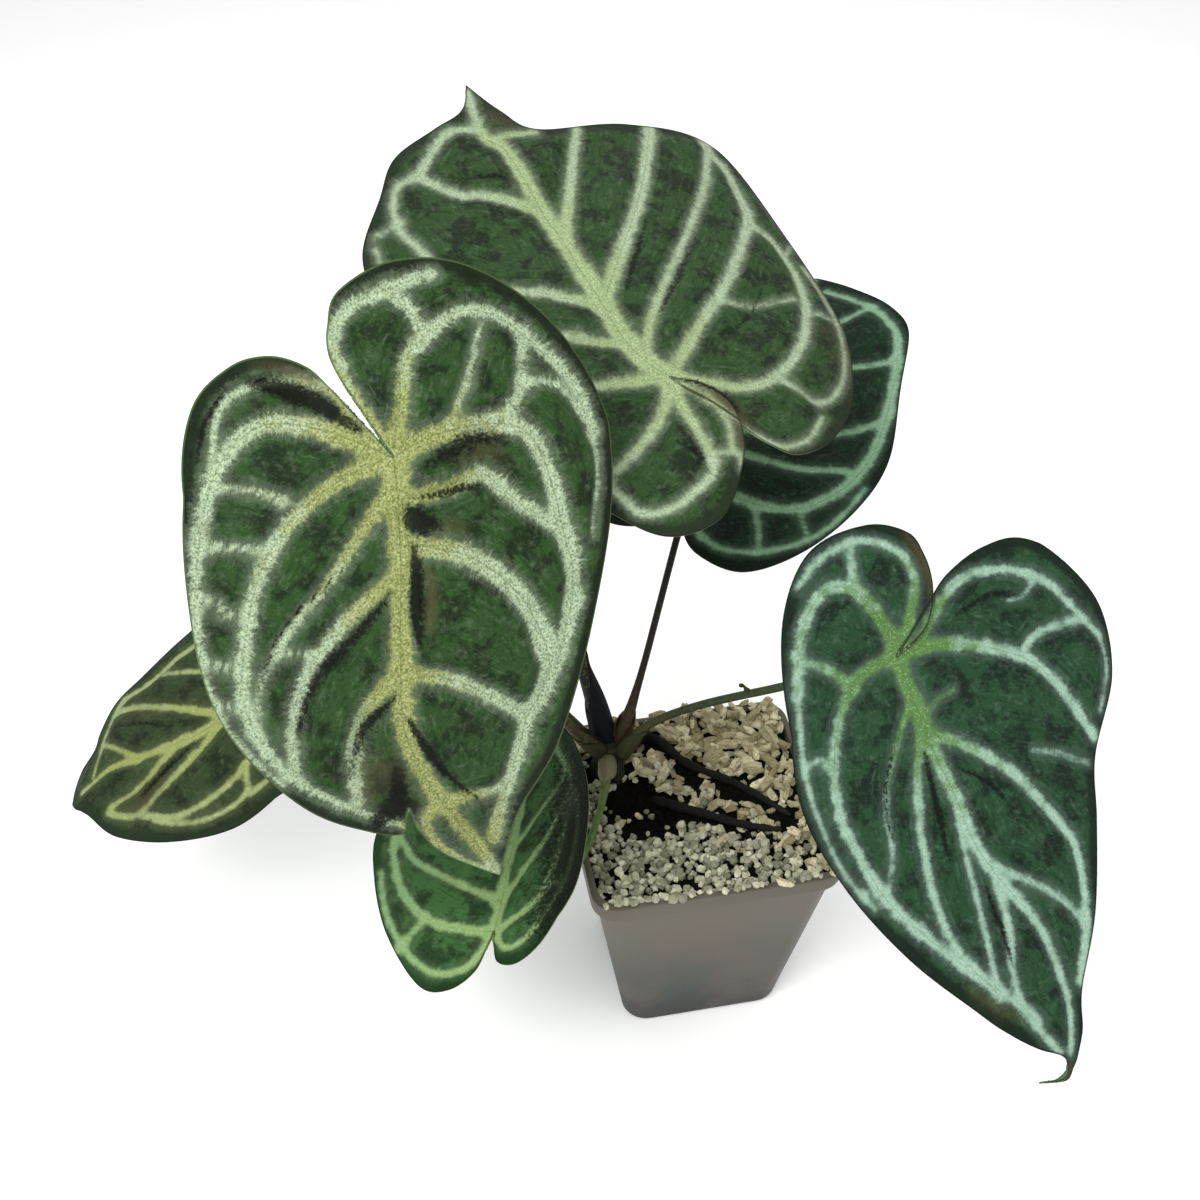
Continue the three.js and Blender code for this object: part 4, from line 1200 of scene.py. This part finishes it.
def stem_knob():
    """The ringed knob that all the stalks grow from."""
    start_piece()
    bpy.ops.mesh.primitive_cylinder_add(vertices=40, radius=1, depth=2, end_fill_type="NGON")
    piece = bpy.context.object
    bpy.ops.object.mode_set(mode="EDIT")
    select_edges(piece, lambda a, b: abs(a.z - b.z) > 1)
    bpy.ops.mesh.subdivide(number_cuts=22)
    bpy.ops.object.mode_set(mode="OBJECT")
    points = points_of(piece) * MM
    share = (points[:, 2] + 1) / 2
    low, high = STEM["heights"][0], STEM["heights"][-1]
    z = low + share * (high - low)
    turn = np.arctan2(points[:, 1], points[:, 0])
    radius = np.interp(z, STEM["heights"], STEM["radii"])
    scars = SCAR_RISE * np.sin(z * 2.1 + 0.6 * np.sin(turn))
    radius = radius + scars + FLAT_RISE * np.sin(3 * turn + z * 0.5)
    points[:, 0] = STEM["at"][0] + radius * np.cos(turn)
    points[:, 1] = STEM["at"][1] + radius * np.sin(turn)
    points[:, 2] = z
    place_points(piece, points)
    store(piece, "along", share)
    bpy.ops.object.shade_smooth_by_angle(angle=math.radians(50))
    return piece


# For each sheath: its length and radius, which way round it opens, and its colours from foot to tip
DULL_SHEATH = (0x2A2818, 0x35331E, 0x434126)
SHEATHS = {
    # Sheath B's blue-black is painted shade: it stands in deep shadow behind leaf A
    "B": (42, 4.9, 200, (0x101218, 0x0E0F15, 0x181920)),
    "C": (19, 3.8, 250, (0x5E5338, 0x4C3F2B, 0x302620)),
    "D": (16, 3.0, 120, (0x3A3C24, 0x3E4226, 0x3A4226)),
    "A": (17, 3.3, 30, DULL_SHEATH),
    "E": (15, 3.1, 90, DULL_SHEATH),
    "F": (17, 3.3, 300, (0x77735A, 0x7C7960, 0x5F6A42)),
}
# Every sheath: how far it wraps each way in degrees, the share it narrows by and the share its torn sides
# fall short by, how clear of the stalk it stands, how high its ripples are, and how thick it is
SLEEVE = {"wrap": 165, "narrows": 0.72, "torn": 0.28, "clear": 0.25, "ripple": 0.15, "thick": 0.35}


def sheath(name, length, radius, opening):
    """A torn papery sleeve round the foot of a stalk."""
    line = smooth_line(STALKS[name]["route"], 60, runs_on=True)
    start_piece()
    bpy.ops.mesh.primitive_grid_add(x_subdivisions=30, y_subdivisions=22, size=2)
    piece = bpy.context.object
    flat = points_of(piece) * MM
    side, up = flat[:, 0], (flat[:, 1] + 1) / 2
    # It wraps nearly all the way round at its foot, narrows upwards, and is longest along its middle
    wrap = math.radians(SLEEVE["wrap"]) * (1 - SLEEVE["narrows"] * up**1.6)
    turn = math.radians(opening) + side * wrap
    rise = up * length * (1 - SLEEVE["torn"] * np.abs(side) * up)
    centre = points_at(rise, line)
    tangent = unit(points_at(rise + 1, line) - centre)
    across = unit(np.cross(tangent, (0.3, 0.9, 0.1)))
    other = np.cross(tangent, across)
    bulge = (radius - STALKS[name]["foot"]) * np.sin(np.pi * np.minimum(up + 0.15, 1)) * 0.9
    ripple = SLEEVE["ripple"] * np.sin(side * 17 + up * 5)
    width = stalk_radius(name, rise) + SLEEVE["clear"] + bulge + ripple
    points = centre + across * (width * np.cos(turn))[:, None] + other * (width * np.sin(turn))[:, None]
    place_points(piece, points)
    store(piece, "along", up)
    apply_modifier(piece, "SOLIDIFY", thickness=SLEEVE["thick"] * MM, offset=0)
    bpy.ops.object.shade_smooth()
    return piece


stem = stem_knob()
finish_piece(stem, "stem_knob", ["stem"],
             [skin_material("corky stem", (0x1C1A11, 0x2A2A1A, 0x343420), 1.2, 0.75)])
for name, (length, radius, opening, colours) in SHEATHS.items():
    finish_piece(sheath(name, length, radius, opening), f"sheath_{name.lower()}",
                 materials=[skin_material(f"papery sheath {name}", colours, 1.0, 0.7)])

# %% [markdown]
# ## The aerial roots
# Two old roots lie across the mix. They are dry and a little knobbly, so their radius wavers, and a light
# relief roughens their skin. Their near-black colour is partly the roots' own and partly painted shadow:
# they lie where dark shadow lines cross the mix.

# %% Roots
ROOTS = {
    "long": [(-17, 31, 88), (-8, 32, 89.5), (2, 17, 89), (18, 3, 89), (33, -13, 87)],
    "short": [(-14, 7, 84), (1, -5, 86.5), (16, -15, 87.5), (28, -19, 87)],
}
ROOT_RADIUS = (1.9, 1.15)

# Near-black skin: partly the root's own colour, partly painted shadow of the dark lines across the mix
root_and_shadow_skin = skin_material("dark root skin, painted shadow", (0x0C0B08, 0x13110C, 0x1E1A13), 1.4, 0.85)
for name, route in ROOTS.items():
    line = smooth_line(route, 80, runs_on=True)
    share = np.linspace(0, 1, len(line))
    radii = ROOT_RADIUS[0] + (ROOT_RADIUS[1] - ROOT_RADIUS[0]) * share
    # Both ends are rounded off, and two slow waves make the root knobbly
    radii *= np.sqrt(np.maximum(1 - (2 * share - 1) ** 12, 0.05))
    radii += 0.14 * np.sin(share * 40) + 0.1 * np.sin(share * 93 + 1)
    piece = limb(line, radii)
    finish_piece(piece, f"aerial_root_{name}_skin", [f"aerial_root_{name}"], [root_and_shadow_skin])

# %% [markdown]
# ## The potting mix
# The mix is coarse and airy: chips of coconut husk and granules of pumice with dark gaps between them. A
# lumpy bed closes the pot, nearly black as painted shade for the gaps, and on it lie three loose layers of
# pieces. Six chips and six granules are made from cubes that are cut up, rounded and roughened. Copies of
# them are turned and scaled by a seeded draw.
# The noise that roughens them starts from the clock unless it has a seed too, and then every run gives the
# same mix.

# %% Bed of the mix
BED = {"level": 84.5, "floor": 70, "squareness": 11, "gap": 0.6}
# The bare hollow beside the stem, with the share of its pieces that stay, and its inner part that is cleared.
# The near-black bed that it bares there is painted shade.
HOLLOW = {"at": (-18, 2), "radius": 19, "depth": 7, "keep": 0.1, "cleared": 0.75}
# How high the mix is heaped at the back, and how far it has sunk at the front left
HEAP = 1.8
FRONT_SUNK = 2.0


def round_square(across, up, width):
    """Points of a unit square drawn to a square of this width with rounded corners."""
    power = BED["squareness"]
    size = (np.abs(across) ** power + np.abs(up) ** power) ** (1 / power)
    share = np.maximum(np.abs(across), np.abs(up)) / np.maximum(size, 1e-9)
    return across * share * width / 2, up * share * width / 2


def bed_height(x, y):
    """How high the mix lies under a point."""
    bumps = 0.8 * np.sin(x * 0.31 + 1) * np.sin(y * 0.27) + 0.5 * np.sin(x * 0.7 - y * 0.5)
    away = np.hypot(x - HOLLOW["at"][0], y - HOLLOW["at"][1]) / HOLLOW["radius"]
    low_edge = smooth_step(-(x + y), 30, 70)
    heap = HEAP * smooth_step(x * 0.4 + y, -10, 40)
    return BED["level"] + bumps + heap - HOLLOW["depth"] * np.exp(-(away**2)) - FRONT_SUNK * low_edge


start_piece()
bpy.ops.mesh.primitive_grid_add(x_subdivisions=56, y_subdivisions=56, size=2)
bed = bpy.context.object
edit_all()
bpy.ops.mesh.extrude_region_move(TRANSFORM_OT_translate={"value": (0, 0, -1)})
bpy.ops.mesh.select_all(action="SELECT")
bpy.ops.mesh.normals_make_consistent(inside=False)
bpy.ops.object.mode_set(mode="OBJECT")
points = points_of(bed) * MM
top = points[:, 2] > -0.5
inner = np.where(top, wall_width(BED["level"]), wall_width(BED["floor"])) - 2 * POT["wall"] - BED["gap"]
x, y = round_square(points[:, 0], points[:, 1], inner)
crumb = np.array([noise.fractal(Vector((a * 0.35, b * 0.35, 3)), 0.6, 2.2, 4) for a, b in zip(x, y)])
z = np.where(top, bed_height(x, y) + 0.8 * crumb, BED["floor"])
place_points(bed, np.stack([x, y, z], -1))
store(bed, "tone", crumb * 0.5 + 0.3)
print("bed of the mix:", len(bed.data.polygons), "faces")

# %% Pieces of the mix
# For each kind: its length, width and height in millimetres, how many cuts round it, how round and how
# rough it is, and how far apart its pieces are laid
KINDS = {
    "husk": {"size": (5.4, 2.4, 1.9), "cuts": 2, "round": 0.25, "rough": 0.55, "step": 3.0},
    "pumice": {"size": (2.8, 2.4, 2.1), "cuts": 1, "round": 0.8, "rough": 0.6, "step": 2.35},
}
SAMPLES = 6
MIX_SEED = 64


def sample(kind, number):
    """One chip or granule, about its own centre."""
    shape = KINDS[kind]
    start_piece()
    bpy.ops.mesh.primitive_cube_add(size=2)
    piece = bpy.context.object
    edit_all()
    bpy.ops.mesh.subdivide(number_cuts=shape["cuts"])
    bpy.ops.object.mode_set(mode="OBJECT")
    cube = points_of(piece) * MM
    ball = unit(cube) * 1.15
    points = cube + (ball - cube) * shape["round"]
    offset = Vector((number * 7, shape["cuts"] * 5, 0))
    points += np.array([noise.noise_vector(Vector(p) * 1.3 + offset) for p in points]) * shape["rough"]
    if kind == "husk":
        points[:, 1:] *= 1 - 0.2 * points[:, :1] ** 2 * np.array([1, 0.3])
        points[:, 2] += 0.35 * math.sin(number * 2.0) * (points[:, 0] ** 2 - 0.5)
    place_points(piece, points * np.array(shape["size"]) / 2)
    return piece


noise.seed_set(MIX_SEED)
samples = {kind: [sample(kind, number) for number in range(SAMPLES)] for kind in KINDS}
print("faces:", {kind: len(group[0].data.polygons) for kind, group in samples.items()})

# %% Laying the mix
LAYERS = [{"rise": 0.3, "keep": 0.55}, {"rise": 2.0, "keep": 0.55}, {"rise": 3.6, "keep": 0.4}]
# Pieces at the front and back lie on the pot's lip: how far over its edge they reach, how many stay, and how
# high they lie on it
SPILL = {"reach": 2.2, "keep": 0.8, "rise": 0.9}
# How far a piece strays from its place in the grid, in steps of it, how far it tilts and sinks or rises, how
# small the smallest is and how much larger the largest, and how clear of a root or the stem pieces stay in
# the upper layers and in the lowest
LAYING = {"stray": 0.5, "tilt": 0.32, "lift": (-0.5, 0.7), "smallest": 0.6, "growth": 0.7,
          "clear": (3.0, 1.0)}
# Half a root's thickness, and how soft the border is between the husk's side of the pot and the pumice's
ROOT_HALF = 1.5
BORDER = 26


def root_gap(x, y):
    """Distance in plan to the nearest root or to the stem."""
    lines = [smooth_line(route, 30, runs_on=True)[:, :2] for route in ROOTS.values()]
    near = min(np.hypot(line[:, 0] - x, line[:, 1] - y).min() for line in lines)
    return min(near - ROOT_HALF, math.hypot(x - STEM["at"][0], y - STEM["at"][1]) - STEM["radii"][0])


def lay_mix(kind, draw):
    """Copies of one kind's samples in loose layers over its side of the bed."""
    laid = []
    reach = (wall_width(BED["level"]) - 2 * POT["wall"]) / 2
    step = KINDS[kind]["step"]
    grid = np.arange(-reach + 1.5, reach - 1, step)
    rows = [-reach - 1, *grid, reach + 1]
    for layer, grid_x, grid_y in product(LAYERS, grid, rows):
        x, y = np.array([grid_x, grid_y]) + draw.uniform(-LAYING["stray"], LAYING["stray"], 2) * step
        keep, choice, scale, tone = draw.uniform(0, 1, 4)
        pick, turn = draw.integers(SAMPLES), draw.uniform(0, 2 * math.pi)
        tilt, lift = draw.normal(0, LAYING["tilt"], 2), draw.uniform(*LAYING["lift"])
        size = LAYING["smallest"] + LAYING["growth"] * scale**1.5
        room = reach - size * KINDS[kind]["size"][0] / 2.6
        spilt = abs(grid_y) > reach
        x = np.clip(x, -room, room)
        y = np.clip(y, -reach - SPILL["reach"], reach + SPILL["reach"]) if spilt else np.clip(y, -room, room)
        husk = choice < smooth_step(0.7 * x + 0.8 * y, -BORDER, BORDER)
        sunk = math.hypot(x - HOLLOW["at"][0], y - HOLLOW["at"][1]) < HOLLOW["radius"] * HOLLOW["cleared"]
        gap = root_gap(x, y)
        thinned = keep > (SPILL if spilt else layer)["keep"] or sunk and keep > HOLLOW["keep"]
        doubled = spilt and layer is not LAYERS[0]
        upper, lowest = LAYING["clear"]
        crowded = gap < upper and layer["rise"] > 1 or gap < lowest and x * y > -200
        if husk != (kind == "husk") or thinned or doubled or crowded:
            continue
        copy = bpy.data.objects.new("piece", samples[kind][pick].data.copy())
        bpy.context.collection.objects.link(copy)
        z = POT["height"] + SPILL["rise"] if spilt else float(bed_height(x, y)) + layer["rise"] + lift
        turned = Matrix.Rotation(turn, 4, "Z") @ Matrix.Rotation(tilt[0], 4, "X")
        turned = turned @ Matrix.Rotation(tilt[1], 4, "Y") @ Matrix.Scale(size, 4)
        copy.data.transform(Matrix.Translation(Vector((x, y, z)) * MM) @ turned)
        store(copy, "tone", np.full(len(copy.data.vertices), tone))
        copy.data.polygons.foreach_set("material_index", [1 if husk else 2] * len(copy.data.polygons))
        laid.append(copy)
    return laid


# %% Mix materials
# Potting mix: a crumbly bed, nearly black, as painted shade that gives the gaps their depth.
def gap_shade_material():
    material, shader, add = start_material("near-black bed, painted gap shade")
    place = add("TexCoord", out="Object")
    crumbs = add("TexNoise", {"Vector": place, "Scale": marks(1.5), "Detail": 5.0, "Roughness": 0.7})
    pale = add("MapRange", {0: crumbs, 1: 0.4, 2: 0.7}, **SOFT)
    gap_shade = add("Mix", {0: pale, 6: linear(0x070604), 7: linear(0x181610)}, **BLEND)
    relief = add("Bump", {"Height": crumbs, "Distance": 0.8 * MM})
    fill(shader, {"Base Color": gap_shade, "Roughness": 0.9, "Specular IOR Level": 0.1, "Normal": relief})
    return material


# Coconut husk, chopped: dry pith and fibre, matt and pale, with fine dark pits.
# Pumice, crushed: a grey-green froth of glass with dark pores.
def piece_material(name, dark, pale, pore, pore_colour):
    material, shader, add = start_material(name)
    place = add("TexCoord", out="Object")
    tone = add("Attribute", out="Fac", attribute_name="tone")
    cloud = add("TexNoise", {"Vector": place, "Scale": marks(2.6), "Detail": 4.0, "Roughness": 0.6})
    pores = add("TexNoise", {"Vector": place, "Scale": marks(pore), "Detail": 4.0, "Roughness": 0.7})
    body = add("Mix", {0: tone, 6: linear(dark), 7: linear(pale)}, **BLEND)
    for pattern, start, full, strength, colour in (
            (cloud, 0.4, 0.7, 0.55, dark), (pores, 0.46, 0.3, 0.8, pore_colour)):
        share = add("MapRange", {0: pattern, 1: start, 2: full, 4: strength}, **SOFT)
        body = add("Mix", {0: share, 6: body, 7: linear(colour)}, **BLEND)
    relief = add("Bump", {"Height": pores, "Distance": 0.5 * MM})
    fill(shader, {"Base Color": body, "Roughness": 0.88, "Specular IOR Level": 0.2, "Normal": relief})
    return material


# %% Lay and join the mix
MIX = [gap_shade_material(),
       piece_material("dry coconut husk", 0x8F855F, 0xEEE6C2, 0.8, 0x352C19),
       piece_material("crushed pumice", 0x7A7A64, 0xE8E4C8, 0.6, 0x26271F)]
models = [*samples["husk"], *samples["pumice"]]
for piece in [bed, *models]:
    for material in MIX:
        piece.data.materials.append(material)
mix_draw = np.random.default_rng(MIX_SEED)
laid = lay_mix("husk", mix_draw) + lay_mix("pumice", mix_draw)
select_only(bed, *laid)
bpy.ops.object.join()
for piece in models:
    bpy.data.objects.remove(piece)
print("pieces laid:", len(laid))
finish_piece(bed, "potting_mix", ["substrate"])

# %% Sizes and finish
boxes = {"cad_box": cad_box, "visual_box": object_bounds()}
boxes = {key: [[float(c) for c in corner] for corner in box] for key, box in boxes.items()}
print("dressed model, mm:", [[round(c / MM) for c in corner] for corner in boxes["visual_box"]])
